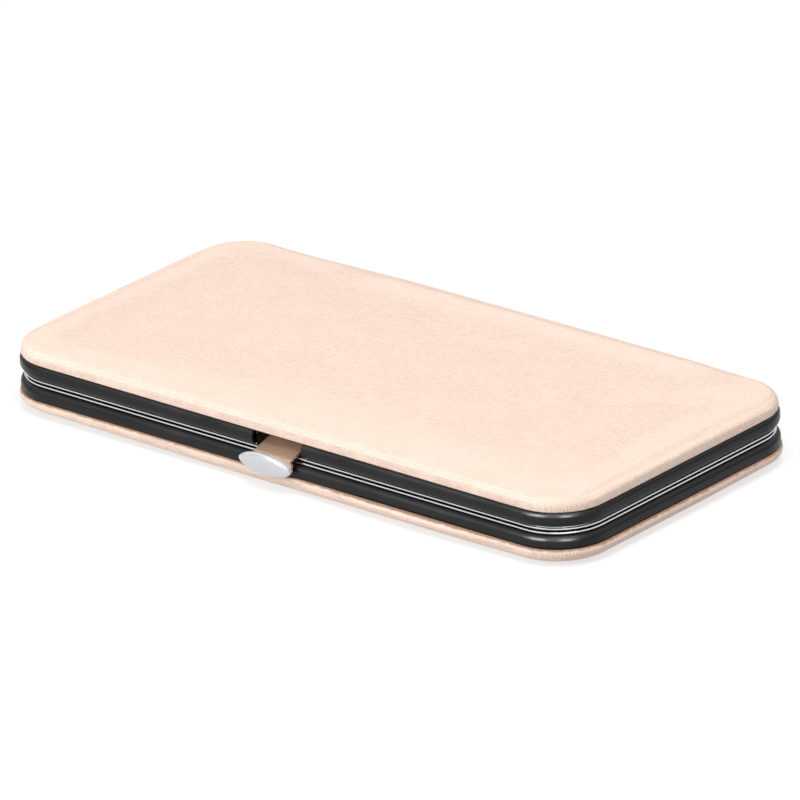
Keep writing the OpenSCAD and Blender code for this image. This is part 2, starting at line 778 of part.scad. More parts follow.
file_tang_width = 4;
module nail_file_handle() color("#f3d9c9")
    on_bed(file_x, file_length / 2 - file_handle_length) difference() {
        handle(file_width, file_handle_length, handle_height, file_blade_width);
        tang_slot(file_tang_width, file_blade_sheet, tang_length);
    }

module nail_file_blade() color("#c9ccd0") on_bed(file_x, -file_length / 2) {
    root = file_length - file_handle_length - 0.1;
    translate([0, 0, handle_height / 2 - file_blade_sheet / 2]) linear_extrude(file_blade_sheet) polygon([
        [0, 0], [1.6, 3.5], [file_blade_width / 2, 14], [file_blade_width / 2, root],
        [file_tang_width / 2, root], [file_tang_width / 2, root + tang_length],
        [-file_tang_width / 2, root + tang_length], [-file_tang_width / 2, root],
        [-file_blade_width / 2, root], [-file_blade_width / 2, 14], [-1.6, 3.5]
    ]);
}

trimmer_tang_width = 2.4;
module cuticle_trimmer_handle() color("#f3d9c9")
    on_bed(trimmer_x, trimmer_length / 2 - trimmer_handle_length) difference() {
        handle(trimmer_width, trimmer_handle_length, handle_height, 4.4);
        tang_slot(trimmer_tang_width, trimmer_blade_sheet, tang_length);
    }

// Steel shank that ends in a small fork with its edges inside the V
module cuticle_trimmer_blade() color("#d4d6d8") on_bed(trimmer_x, -trimmer_length / 2) {
    root = trimmer_length - trimmer_handle_length - 0.1;
    translate([0, 0, handle_height / 2 - trimmer_blade_sheet / 2])
        linear_extrude(trimmer_blade_sheet) difference() {
            polygon([
                [-2.9, 0], [2.9, 0], [2.6, 5], [1.2, 10], [1.2, root + tang_length],
                [-1.2, root + tang_length], [-1.2, 10], [-2.6, 5]
            ]);
            polygon([[-1.9, -1], [1.9, -1], [0, 4.6]]);
        }
}

// Tweezers: one arm over the other, joined at the rear
module tweezers_arm() intersection() {
    half = tweezers_length / 2;
    join = tweezers_length - 9;
    taper = 0.36 * tweezers_length;
    tail = tweezers_length / 18;
    tip = tweezers_width / 4;
    side_profile(tweezers_width) polygon([
        [0, -tweezers_gap / 2 + 0.3], [0, -tweezers_gap / 2 - 0.3], [9, -tweezers_mid], [half, -tweezers_mid],
        [join, -tweezers_sheet], [tweezers_length, -tweezers_sheet], [tweezers_length, 0], [join, 0],
        [half, -tweezers_gap / 2], [9, -tweezers_gap / 2]
    ]);
    translate([0, 0, -tweezers_mid - eps]) linear_extrude(tweezers_mid + 2 * eps) polygon([
        [-tip, tip], [tip, 0], [tweezers_width / 2, taper], [tweezers_width / 2, tweezers_length - tail],
        [tweezers_width / 4, tweezers_length], [-tweezers_width / 4, tweezers_length],
        [-tweezers_width / 2, tweezers_length - tail], [-tweezers_width / 2, taper]
    ]);
}

module tweezers_lower_arm() color("#d4d6d8")
    translate([tweezers_x, -tweezers_length / 2, bed_z + tweezers_mid]) tweezers_arm();
module tweezers_upper_arm() color("#d4d6d8")
    translate([tweezers_x, -tweezers_length / 2, bed_z + tweezers_mid]) mirror([0, 0, 1]) tweezers_arm();

// Nail clippers: two sprung jaws, a folded lever, a pin and a rivet

module clip_place(x) on_bed(x, clip_front) children();

module clip_hole(y, r) translate([0, y, -eps]) cylinder(r = r, h = 10);

// Plan of a jaw: round at the rear, hollow at the cutting edge
module clip_plan(width, length) difference() {
    union() {
        translate([-width / 2, 0]) square([width, length - 3]);
        translate([-width / 2 + 3, 0]) square([width - 6, length]);
        for (x = [-1, 1]) translate([x * (width / 2 - 3), length - 3]) circle(3);
    }
    translate([0, 0.9 - width * 1.2]) circle(width * 1.2);
}

module clip_jaw(width, length) difference() {
    intersection() {
        side_profile(width) children();
        linear_extrude(10) clip_plan(width, length);
    }
    clip_hole(clip_pin_y, clip_pin_radius + glue_gap);
    clip_hole(length - clip_rivet_y, 1 + glue_gap);
}

module lower_jaw(width, length) color("#d4d6d8") clip_jaw(width, length) polygon([
    [length, clip_head], [length, clip_head + clip_sheet], [9, clip_head + clip_sheet],
    [3, clip_head + clip_sheet + 0.1], [1.4, clip_lip_low], [0, clip_lip_low],
    [0, clip_head + 0.8], [2.4, clip_head]
]);

module upper_jaw(width, length) color("#d4d6d8") clip_jaw(width, length) polygon([
    [length, clip_head + clip_sheet], [length, clip_head + 2 * clip_sheet],
    [length - 10, clip_head + 2 * clip_sheet], [9, clip_jaw_top], [2, clip_jaw_top - 0.3],
    [0, clip_lip_high + 0.5], [0, clip_lip_high], [1.2, clip_lip_high],
    [2.8, clip_jaw_top - clip_sheet - 0.2], [9, clip_jaw_top - clip_sheet], [length - 11, clip_head + clip_sheet]
]);

module lever(width, length) color("#dcdee0") difference() {
    far = length + clip_lever_over;
    intersection() {
        side_profile(width - 1.4) polygon([
            [4.2, clip_jaw_top + 0.1], [4.2, clip_jaw_top + 1.2], [9, clip_lever_top],
            [far, clip_lever_rear], [far, clip_lever_rear - clip_lever_sheet],
            [11, clip_lever_top - clip_lever_sheet], [9.2, clip_jaw_top + 0.1]
        ]);
        linear_extrude(10) union() {
            translate([-width / 2 + 1.4, 4.2]) square([width - 2.8, 8]);
            translate([-width / 2 + 0.7, 12]) square([width - 1.4, far - 12 - width / 2 + 0.7]);
            translate([0, far - width / 2 + 0.7]) circle(width / 2 - 0.7);
        }
    }
    clip_hole(clip_pin_y, clip_pin_radius + glue_gap);
}

module clip_pin() color("#c8c8ca") translate([0, clip_pin_y, 0]) {
    cylinder(r = clip_pin_head, h = clip_head - 0.05);
    cylinder(r = clip_pin_radius, h = clip_lever_top + 0.3);
}

module clip_rivet(length) color("#c8c8ca") translate([0, length - clip_rivet_y, 0]) {
    translate([0, 0, clip_head - 0.2]) cylinder(r = 1.6, h = 0.15);
    translate([0, 0, clip_head - 0.1]) cylinder(r = 1, h = 2 * clip_sheet + 0.2);
    translate([0, 0, clip_head + 2 * clip_sheet + 0.05]) cylinder(r = 1.6, h = 0.2);
}

module clipper_lower_jaw() clip_place(clipper_x) lower_jaw(clipper_width, clipper_length);
module clipper_upper_jaw() clip_place(clipper_x) upper_jaw(clipper_width, clipper_length);
module clipper_lever() clip_place(clipper_x) lever(clipper_width, clipper_length);
module clipper_pin() clip_place(clipper_x) clip_pin();
module clipper_rivet() clip_place(clipper_x) clip_rivet(clipper_length);
module toe_clipper_lower_jaw() clip_place(toe_clipper_x) lower_jaw(toe_clipper_width, toe_clipper_length);
module toe_clipper_upper_jaw() clip_place(toe_clipper_x) upper_jaw(toe_clipper_width, toe_clipper_length);
module toe_clipper_lever() clip_place(toe_clipper_x) lever(toe_clipper_width, toe_clipper_length);
module toe_clipper_pin() clip_place(toe_clipper_x) clip_pin();
module toe_clipper_rivet() clip_place(toe_clipper_x) clip_rivet(toe_clipper_length);

// Scissors

// One half, with its finger ring on the -x side: blade, shank and ring
module scissors_half(low) difference() {
    ring_z = (scissors_low + scissors_high + blade_thickness) / 2;
    translate([scissors_x, scissors_y, 0]) {
        translate([0, 0, low]) linear_extrude(blade_thickness) {
            polygon([
                [-2.7, 0], [-2.5, -blade_length * 0.4], [-1.2, -blade_length * 0.8], [-0.2, -blade_length],
                [0.7, -blade_length * 0.85], [1.6, -blade_length * 0.45], [2.7, 0]
            ]);
            circle(3.4);
            polygon([
                [-2.9, 1.2], [shank_x(shank_top_y) - shank_half, shank_top_y],
                [shank_x(shank_top_y) + shank_half, shank_top_y], [2.2, 2.6]
            ]);
        }
        translate([-ring_x, ring_y, ring_z])
            rotate_extrude($fn = big_fn) translate([ring_radius + ring_wire, 0]) circle(ring_wire);
    }
    translate([scissors_x, scissors_y, low - eps])
        cylinder(r = screw_radius + pin_play, h = blade_thickness + 2 * eps);
    // The ring's bore stays open where the shank joins it
    translate([scissors_x - ring_x, scissors_y + ring_y, low - 2]) cylinder(r = ring_radius, h = 6);
}

module scissors_lower_half() color("#d4d6d8") scissors_half(scissors_low);
module scissors_upper_half() color("#d4d6d8")
    translate([2 * scissors_x, 0, 0]) mirror([1, 0, 0]) scissors_half(scissors_high);

module scissors_screw() color("#c8c8ca") translate([scissors_x, scissors_y, 0]) {
    top = scissors_high + blade_thickness;
    translate([0, 0, bed_z]) cylinder(r = 2, h = scissors_low - bed_z - glue_gap);
    translate([0, 0, bed_z]) cylinder(r = screw_radius, h = top - bed_z + glue_gap);
    translate([0, 0, top + glue_gap]) cylinder(r1 = 2.4, r2 = 1.9, h = 0.7);
}

bottom_cover_skin();
bottom_cover_foam();
bottom_cover_board();
lower_frame();
lower_rim();
base_lining_card();
base_lining();
base_leaf(-hinge_place);  // base_hinge_leaf_left
base_leaf(hinge_place);  // base_hinge_leaf_right
hinge_pin(-hinge_place);  // hinge_pin_left
hinge_pin(hinge_place);  // hinge_pin_right
color("#c8c8ca") lower() hinge_rivets();  // base_hinge_rivets
tool_strap();
strap_rivets();
cuticle_pusher();
cuticle_trimmer_handle();
cuticle_trimmer_blade();
nail_file_handle();
nail_file_blade();
tweezers_lower_arm();
tweezers_upper_arm();
clipper_lower_jaw();
clipper_upper_jaw();
clipper_lever();
clipper_pin();
clipper_rivet();
toe_clipper_lower_jaw();
toe_clipper_upper_jaw();
toe_clipper_lever();
toe_clipper_pin();
toe_clipper_rivet();
scissors_lower_half();
scissors_screw();
scissors_upper_half();
top_cover_skin();
top_cover_foam();
top_cover_board();
upper_frame();
upper_rim();
lid_lining_card();
lid_lining();
lid_leaf(-hinge_place);  // lid_hinge_leaf_left
lid_leaf(hinge_place);  // lid_hinge_leaf_right
color("#c8c8ca") upper() hinge_rivets();  // lid_hinge_rivets
latch_bracket();
latch_bracket_rivets();
latch_pivot_pin();
latch_spring();
latch_tongue();
thumb_plate();
thumb_plate_rivets();
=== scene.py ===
# %% [markdown]
# A slim manicure set case: two padded leatherette covers on black rolled frames, two bright beads
# along the parting line and a lift latch with an oval thumb plate. The hard pieces come from the
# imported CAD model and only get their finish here. The soft ones, which are the covers, the linings
# and the strap, are modelled again, because their roundness and stitching are what the eye looks for.

# %% Load the case
import json
import math

import bmesh
import bpy
import numpy as np
from mathutils import Matrix, Vector, noise
from mathutils.bvhtree import BVHTree
from mathutils.kdtree import KDTree


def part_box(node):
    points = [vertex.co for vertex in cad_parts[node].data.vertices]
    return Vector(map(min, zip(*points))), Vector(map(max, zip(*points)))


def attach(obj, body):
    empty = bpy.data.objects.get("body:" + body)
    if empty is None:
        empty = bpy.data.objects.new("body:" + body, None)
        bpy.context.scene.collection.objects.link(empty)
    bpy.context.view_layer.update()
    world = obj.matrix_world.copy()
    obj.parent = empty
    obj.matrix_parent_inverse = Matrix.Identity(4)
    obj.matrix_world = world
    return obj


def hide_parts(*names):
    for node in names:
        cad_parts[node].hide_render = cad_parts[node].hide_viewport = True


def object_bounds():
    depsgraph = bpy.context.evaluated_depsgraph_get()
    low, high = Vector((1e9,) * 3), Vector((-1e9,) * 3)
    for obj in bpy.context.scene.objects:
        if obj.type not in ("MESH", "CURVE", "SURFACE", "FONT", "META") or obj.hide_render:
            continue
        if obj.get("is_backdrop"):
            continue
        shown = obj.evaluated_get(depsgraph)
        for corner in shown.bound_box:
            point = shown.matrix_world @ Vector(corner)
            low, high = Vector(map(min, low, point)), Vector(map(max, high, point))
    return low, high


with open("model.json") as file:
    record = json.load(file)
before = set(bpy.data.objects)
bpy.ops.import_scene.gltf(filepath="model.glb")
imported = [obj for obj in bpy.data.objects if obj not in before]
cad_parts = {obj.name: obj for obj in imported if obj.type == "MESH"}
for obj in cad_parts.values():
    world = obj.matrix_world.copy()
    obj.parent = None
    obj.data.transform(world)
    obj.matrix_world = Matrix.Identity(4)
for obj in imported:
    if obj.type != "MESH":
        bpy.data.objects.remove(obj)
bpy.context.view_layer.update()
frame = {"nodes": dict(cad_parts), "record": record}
cad = frame["nodes"]
MM = 0.001


def placed(name, data):
    """A new object of the scene."""
    made = bpy.data.objects.new(name, data)
    bpy.context.scene.collection.objects.link(made)
    return made


# %% [markdown]
# The photograph was taken from far away with a long lens: the case's parallel edges stay nearly
# parallel. A camera like that is described by how large the object appears, in pixels for each
# millimetre, and from how far it is seen. Both were found by fitting the outline of the case.

# %% Camera
PICTURE = 800             # pixels on each side of the picture
PIXELS_PER_MM = 4.15      # how large the middle of the case appears
DISTANCE = 2850 * MM      # from the camera to the middle of the case
AZIMUTH = math.radians(41.13)
ELEVATION = math.radians(22.7)
ROLL = math.radians(-2.46)
MIDDLE = Vector((0, 0, 13.7)) * MM   # the point that the fit turned about
OFFSET = Vector((-0.88, 5.35)) * MM  # where that point lies, right of and above the picture's middle
SENSOR = 36               # mm, width of the film

sideways = Vector((math.cos(AZIMUTH), math.sin(AZIMUTH), 0))
forward = Vector((
    -math.sin(AZIMUTH) * math.cos(ELEVATION),
    math.cos(AZIMUTH) * math.cos(ELEVATION),
    -math.sin(ELEVATION),
))
upright = sideways.cross(forward)
right = math.cos(ROLL) * sideways + math.sin(ROLL) * upright
up = math.cos(ROLL) * upright - math.sin(ROLL) * sideways
lens = bpy.data.cameras.new("camera")
lens.sensor_width = SENSOR
lens.lens = PIXELS_PER_MM / MM * DISTANCE * SENSOR / PICTURE
lens.clip_start = 0.1
lens.clip_end = 50
camera = placed("camera", lens)
turn = Matrix((right, up, -forward)).transposed().to_4x4()
place = MIDDLE - OFFSET.x * right - OFFSET.y * up - DISTANCE * forward
camera.matrix_world = Matrix.Translation(place) @ turn
bpy.context.scene.camera = camera
bpy.context.scene.view_settings.view_transform = "Standard"
print("lens", round(lens.lens), "mm")

# %% [markdown]
# Floor, light and finishes are small networks of nodes. Writing each one out takes many lines, so
# one helper makes a node, sets its properties and fills its sockets with values or with links.
# Colours are written as on a screen, and turned into the linear light that a renderer counts with.

# %% Helpers for nodes
def linear(code):
    """An sRGB hex colour as linear red, green, blue and alpha."""
    parts = [int(code[i:i + 2], 16) / 255 for i in (1, 3, 5)]
    return [p / 12.92 if p <= 0.04045 else ((p + 0.055) / 1.055) ** 2.4 for p in parts] + [1]


def add(tree, kind, sockets=None, **settings):
    """A new node. A socket's value is a number, a hex colour or the output that feeds it."""
    made = tree.nodes.new(kind)
    for name, value in settings.items():
        setattr(made, name, value)
    for key, value in (sockets or {}).items():
        if isinstance(value, bpy.types.NodeSocket):
            tree.links.new(value, made.inputs[key])
        else:
            colour = isinstance(value, str) and value.startswith("#")
            made.inputs[key].default_value = linear(value) if colour else value
    return made


def empty_tree(owner):
    """The node tree of a material or of the world, cleared."""
    owner.use_nodes = True
    owner.node_tree.nodes.clear()
    return owner.node_tree


def compute(tree, operation, *values):
    """A number computed from others."""
    return add(tree, "ShaderNodeMath", dict(enumerate(values)), operation=operation).outputs[0]


def spread(tree, value, start, stop, low=0, high=1, **how):
    """A value, with the range from start to stop stretched to that from low to high."""
    return add(tree, "ShaderNodeMapRange", {"Value": value, "From Min": start, "From Max": stop,
                                            "To Min": low, "To Max": high}, **how).outputs[0]


def mix(tree, share, first, second):
    """A value between two others."""
    return add(tree, "ShaderNodeMix", {0: share, 2: first, 3: second}).outputs[0]


print("middle grey on a screen is", round(linear("#808080")[0], 3), "of white's light")

# %% [markdown]
# In a shop the case lies on a sheet of white paper that curves up behind it. Here the floor is a
# flat pale sheet that keeps a soft shadow and gives off a little light of its own, so that it carries
# on into a white background. Light Path tells which ray asks: the camera sees bright paper, the sides
# of the case get a faint bounce from it, and lacquer and metal mirror something in between.

# %% Floor
HALF_FLOOR = 6            # m
PAPER_SEEN = 1.1          # glow of the paper for the camera
PAPER_BOUNCE = 0.33       # and as light on the case
PAPER_GLEAM = 0.52        # and what lacquer and metal mirror of it beyond that
floor_mesh = bpy.data.meshes.new("floor")
floor_mesh.from_pydata(
    [(x * HALF_FLOOR, y * HALF_FLOOR, -0.02 * MM) for x, y in ((-1, -1), (1, -1), (1, 1), (-1, 1))],
    [], [(0, 1, 2, 3)])
floor = placed("floor", floor_mesh)
floor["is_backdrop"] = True

paper = bpy.data.materials.new("white_paper_floor")
tree = empty_tree(paper)
seen = add(tree, "ShaderNodeLightPath").outputs
matt = add(tree, "ShaderNodeBsdfDiffuse", {"Color": "#f4f4f4"})
level = spread(tree, seen["Is Camera Ray"], 0, 1, PAPER_BOUNCE, PAPER_SEEN)
level = compute(tree, "MULTIPLY_ADD", seen["Is Glossy Ray"], PAPER_GLEAM, level)
glow = add(tree, "ShaderNodeEmission", {"Color": "#ffffff", "Strength": level})
share = spread(tree, seen["Is Glossy Ray"], 0, 1, 0.6, 0.8)
sheet = add(tree, "ShaderNodeMixShader", {0: share, 1: matt.outputs[0], 2: glow.outputs[0]})
add(tree, "ShaderNodeOutputMaterial", {"Surface": sheet.outputs[0]})
floor_mesh.materials.append(paper)
print("paper", round(2 * HALF_FLOOR), "m wide")

# %% [markdown]
# The world round it works the same way. The camera sees it white, and what it shows to reflections
# is a tent: dark at the horizon, where the photographer stands, and bright above.

# %% Background
AMBIENT = 0.36            # diffuse light from all round
DIM = 0.2                 # what metal and lacquer mirror near the horizon: the dark room
BRIGHT = 1.1              # and higher up: the light tent
world = bpy.data.worlds.new("studio")
bpy.context.scene.world = world
tree = empty_tree(world)
seen = add(tree, "ShaderNodeLightPath").outputs
aim = add(tree, "ShaderNodeNewGeometry").outputs["Incoming"]
height = add(tree, "ShaderNodeSeparateXYZ", {0: aim}).outputs["Z"]
tent = spread(tree, height, -0.02, -0.5, DIM, BRIGHT, interpolation_type="SMOOTHSTEP")
soft = mix(tree, seen["Is Glossy Ray"], AMBIENT, tent)
clear = compute(tree, "MAXIMUM", seen["Is Camera Ray"], seen["Is Transmission Ray"])
back = add(tree, "ShaderNodeBackground", {"Color": "#ffffff", "Strength": mix(tree, clear, soft, 1)})
add(tree, "ShaderNodeOutputWorld", {"Surface": back.outputs[0]})
print("light from all round", AMBIENT)

# %% [markdown]
# A large softbox overhead lights the top, a second one low at the front evens out the front edge.
# Black lacquer shows only what it mirrors, so a photographer sets long strip lights beside it and
# keeps them off everything else with flags. Light linking is Blender's flag: each strip shines on the
# two frames alone, and a small spot on the thumb plate alone. Otherwise the bright beads burn out.

# %% Lamps
def softbox(name, around, height, away, size, watts):
    """A lamp that points at the case, from a compass angle, a height angle and so many metres away."""
    lamp = bpy.data.lights.new(name, "AREA")
    lamp.shape = "RECTANGLE"
    lamp.size, lamp.size_y = size
    lamp.energy = watts
    made = placed(name, lamp)
    a, h = math.radians(around), math.radians(height)
    place = away * Vector((math.cos(a) * math.cos(h), math.sin(a) * math.cos(h), math.sin(h)))
    made.matrix_world = Matrix.Translation(place) @ place.to_track_quat("Z", "Y").to_matrix().to_4x4()
    return made


def only_for(lamp, names):
    """Let a lamp shine on some CAD nodes alone, and only as a reflection in them."""
    group = bpy.data.collections.new(lamp.name + "_receivers")
    for name in names:
        group.objects.link(cad[name])
    lamp.light_linking.receiver_collection = group
    lamp.visible_diffuse = False


softbox("overhead_softbox", -35, 72, 1.5, (0.95, 0.95), 16.2)
front = softbox("front_softbox", -115, 17, 1.45, (0.8, 0.8), 10.6)
front.visible_glossy = False
BLACK_FRAMES = ("upper_frame", "lower_frame")
only_for(softbox("left_strip", -94, 24, 1.3, (0.62, 0.7), 48), BLACK_FRAMES)
only_for(softbox("right_strip", -38, 24, 1.3, (0.36, 0.7), 32), BLACK_FRAMES)
only_for(softbox("plate_spot", -112, 7, 0.8, (0.14, 0.12), 1.2), ("thumb_plate",))

# %% [markdown]
# The soft pieces have to fit the hard ones exactly, so their sizes aren't typed again but read from
# the CAD nodes' boxes. If the case is made longer or deeper, the covers and linings follow.

# %% Sizes read from the frame
def size_of(name):
    """Lowest and highest corner of a CAD node, in millimetres."""
    low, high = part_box(name)
    return low / MM, high / MM


HALF_LENGTH, HALF_WIDTH, _ = size_of("lower_frame")[1]
CORNER = 14               # mm, radius of the frames' corners
COVER_BOTTOM = size_of("top_cover_skin")[0].z
COVER_TOP = size_of("top_cover_skin")[1].z
COVER_INSET = HALF_LENGTH - size_of("top_cover_skin")[1].x
cover_floor = size_of("bottom_cover_skin")[1].z
print("covers", round(COVER_TOP - COVER_BOTTOM, 2), "mm thick, set in", round(COVER_INSET, 2), "mm")

# %% [markdown]
# A finish is one Principled shader that is fed by a few textures. These helpers start one and make
# what it is fed with: noise of a size in mm, mixes of two colours, and a relief. A relief only
# changes which way the surface seems to face, so it is right for what is finer than the mesh.

# %% Helpers for finishes
def new_material(name, **sockets):
    """A material with one Principled shader, whose sockets are given with _ for spaces."""
    made = bpy.data.materials.new(name)
    tree = empty_tree(made)
    values = {key.replace("_", " "): value for key, value in sockets.items()}
    shader = add(tree, "ShaderNodeBsdfPrincipled", values)
    add(tree, "ShaderNodeOutputMaterial", {"Surface": shader.outputs[0]})
    where = add(tree, "ShaderNodeTexCoord").outputs["Object"]
    return made, tree, shader, where


def feed(shader, **outputs):
    """Link outputs to the sockets of a shader, named with _ for spaces."""
    for key, output in outputs.items():
        shader.id_data.links.new(output, shader.inputs[key.replace("_", " ")])


def per_mm(size):
    """The scale of a texture, in 1/m, whose pattern repeats about every size millimetres."""
    return 1 / (size * MM)


def speckle(tree, where, size, detail, **more):
    """Noise with patches about size mm across."""
    return add(tree, "ShaderNodeTexNoise",
               {"Vector": where, "Scale": per_mm(size), "Detail": detail, **more}).outputs["Fac"]


def blend(tree, share, first, second, **how):
    """A colour between two others."""
    return add(tree, "ShaderNodeMix", {0: share, 6: first, 7: second}, data_type="RGBA", **how).outputs[2]


def relief(tree, height, depth, strength):
    """Directions of a surface whose height changes by up to depth mm."""
    return add(tree, "ShaderNodeBump",
               {"Strength": strength, "Distance": depth * MM, "Height": height}).outputs[0]


print("noise with patches of 1 mm has scale", per_mm(1))

# %% [markdown]
# Each cover is glued into its frame with its edge turned in. There the leatherette is stretched and
# a thin line of glue and of its brown backing shows, ragged and rarely the same width for long; the
# same brown is also painted shade where the cover meets the frame. The mask below finds that line
# by height alone, because both joints run level round the case.

# %% Glued edges of the leatherette, with painted shade at the joints
TOP_LAP = 0.12            # mm that the top cover reaches down over its frame's shoulder
BOTTOM_LAP = 0.6          # mm that the lower cover does
GLUE_AND_SHADE_TOP = 0.1            # mm beside the top joint in which the glued edge and painted shade show
GLUE_AND_SHADE_BOTTOM = 0.28        # mm beside the lower one
RAGGED = 1.5              # mm across a tooth of its ragged edge
# Brown of the glued backing, which is also painted shade in the joint under the frame.
GLUE_AND_SHADE_BROWN = "#9a7252"


def glue_and_shade_mask(tree, where):
    """1 on the two joints between the covers and the frames, where glue and painted shade go, 0 further away.
    """
    height = add(tree, "ShaderNodeSeparateXYZ", {0: where}).outputs["Z"]
    ragged = speckle(tree, where, RAGGED, 3)
    near = []
    for joint, reach in ((COVER_BOTTOM - TOP_LAP, GLUE_AND_SHADE_TOP), (cover_floor + BOTTOM_LAP, GLUE_AND_SHADE_BOTTOM)):
        off = compute(tree, "ABSOLUTE", compute(tree, "SUBTRACT", height, joint * MM))
        near.append(compute(tree, "SUBTRACT", off, compute(tree, "MULTIPLY", ragged, 2 * reach * MM)))
    return spread(tree, compute(tree, "MINIMUM", *near), 0.15 * MM, -0.1 * MM, 0, 0.8)


print("joints at", round(COVER_BOTTOM - TOP_LAP, 2), "and", round(cover_floor + BOTTOM_LAP, 2), "mm")

# %% [markdown]
# The covers are PU leatherette: a thin pink-beige film on a knit backing, pressed with a fine cross
# grain. From a step away it is matt, a little mottled, and carries short ridges less than a
# millimetre apart, most of them along the case. Two sets of waves that cross make the ridges, and
# noise that is stretched along the case breaks them up. The same height goes into the bump and, as
# painted shade in the grooves, into the colour, since so fine a relief hardly casts a shadow of its own.

# %% Leatherette
RIDGE = 0.62              # mm between the ridges of the pressed grain
BREAK = 0.5               # mm across the noise that breaks them up
FIBRE = 1.3               # mm across a fibre of the knit that shows through
MOTTLE = 9                # mm across a patch of the mottled colour


def leatherette(name, light, dark, ridge_depth, glued=False):
    """Pressed leatherette between two colours, with ridges so many mm deep."""
    made, tree, shader, where = new_material(name, Roughness=0.6, Specular_IOR_Level=0.35,
                                             Sheen_Weight=0.08, Sheen_Roughness=0.5)
    streaks = add(tree, "ShaderNodeMapping", {"Vector": where, "Scale": (0.4, 1, 1)}).outputs[0]
    patches = speckle(tree, where, MOTTLE, 6, Roughness=0.66)
    mottled = mix(tree, 0.45, patches, speckle(tree, streaks, FIBRE, 4))
    colour = blend(tree, spread(tree, mottled, 0.34, 0.66), dark, light)
    if glued:
        # Glue line, and painted shade where the cover meets its frame.
        colour = blend(tree, glue_and_shade_mask(tree, where), colour, GLUE_AND_SHADE_BROWN)
    ridges = []
    for axis, wander in (("X", 3.6), ("Y", 4.2), ("Z", 1.5)):
        # The bands of a wave texture at scale 1 are pi / 10 apart.
        wave = add(tree, "ShaderNodeTexWave", {"Vector": where, "Scale": per_mm(RIDGE) * math.pi / 10,
                                               "Distortion": wander, "Detail": 2, "Detail Scale": 0.3},
                   bands_direction=axis)
        ridges.append(wave.outputs["Fac"])
    weave = mix(tree, 0.3, mix(tree, 0.66, ridges[0], ridges[1]), ridges[2])
    height = mix(tree, 0.58, weave, speckle(tree, streaks, BREAK, 2))
    # Painted shade: the grooves of the grain are darkened in the colour.
    groove_shade = spread(tree, height, 0.28, 0.6, 0.79)
    feed(shader, Base_Color=blend(tree, 1, colour, groove_shade, blend_type="MULTIPLY"),
         Normal=relief(tree, height, ridge_depth, 1))
    return made


cover_leatherette = leatherette("pressed_pu_leatherette", "#ffe5d5", "#fcdfcd", 0.17, glued=True)
strap_leatherette = leatherette("strap_pu_leatherette", "#f0d0bf", "#e4bda9", 0.04)
print("leatherette ridges each", RIDGE, "mm")

# %% [markdown]
# The frames are rolled steel channels under satin black lacquer. Lacquer levels itself in the oven,
# so it is smooth but for a faint orange peel, and its highlights along the shoulders are soft. Its
# roughness varies slowly, as on anything that hands have held.

# %% Black lacquer
PEEL = 1.2                # mm across a dimple of the orange peel
HANDLED = 14              # mm across a patch of slightly duller lacquer
black_lacquer, tree, shader, where = new_material("satin_black_lacquer", Base_Color="#131316",
                                                  Roughness=0.3, Specular_IOR_Level=0.27)
feed(shader, Roughness=spread(tree, speckle(tree, where, HANDLED, 6), 0.35, 0.7, 0.26, 0.38),
     Normal=relief(tree, speckle(tree, where, PEEL, 2), 0.02, 0.2))
print("lacquer with an orange peel of", PEEL, "mm")

# %% [markdown]
# Beads, latch and hinges are bright plated steel. The plating is almost a mirror; what keeps it
# from looking like glass is the fine rolling lines of the sheet under it. The thumb plate is satin
# chrome, and together with the tongue it is less metallic than real plate: in an all-white studio a
# pure metal has nothing to mirror but white, and would lose its shape. The tongue's pink-brown colour
# is a painted reflection of the pink cover above it. The tools are stainless steel,
# ground along their length, so their lines are longer and their sheen is wider.

# %% Plated and ground metals
def metal(name, colour, smooth, rough, line, stretch, depth, metallic=1):
    """Bright metal with lines so many mm wide, drawn out along each axis whose stretch is small."""
    made, tree, shader, where = new_material(name, Base_Color=colour, Metallic=metallic)
    drawn = add(tree, "ShaderNodeMapping", {"Vector": where, "Scale": stretch}).outputs[0]
    lines = speckle(tree, drawn, line, 4, Roughness=0.6)
    feed(shader, Roughness=spread(tree, lines, 0.3, 0.7, smooth, rough),
         Normal=relief(tree, lines, depth, 0.25))
    return made


bright_nickel = metal("bright_nickel_plate", "#eeeeee", 0.05, 0.12, 0.25, (0.08, 1, 1), 0.001)
satin_chrome = metal("satin_chrome_plate", "#d9dadd", 0.2, 0.26, 2.5, (0.2, 1, 1), 0.002, metallic=0.5)
# Painted reflection: the tongue's pink-brown colour stands for the pink cover mirrored in the chrome.
painted_reflection_nickel = metal("mirror_nickel_sheet", "#d5bba3", 0.1, 0.16, 0.6, (1, 0.1, 1), 0.001, metallic=0.6)
ground_steel = metal("ground_stainless_steel", "#c9cbcd", 0.24, 0.38, 0.15, (1, 0.05, 1), 0.006)
polished_steel = metal("polished_stainless_steel", "#d6d7d8", 0.1, 0.2, 0.3, (1, 0.1, 1), 0.003)
file_steel = metal("cross_cut_file_steel", "#b9bbbd", 0.32, 0.46, 0.2, (1, 1, 1), 0.02)
spring_steel = metal("blued_spring_steel", "#7f858c", 0.22, 0.34, 0.2, (1, 0.1, 1), 0.003)
print("metals", [m.name for m in bpy.data.materials if m.name.endswith(("plate", "sheet", "steel"))])

# %% [markdown]
# Inside, the case is lined with flocked cloth. Short fibres stand on it, which gives the eye a soft
# rim of light, called sheen, and clouds where a finger has brushed them the other way.

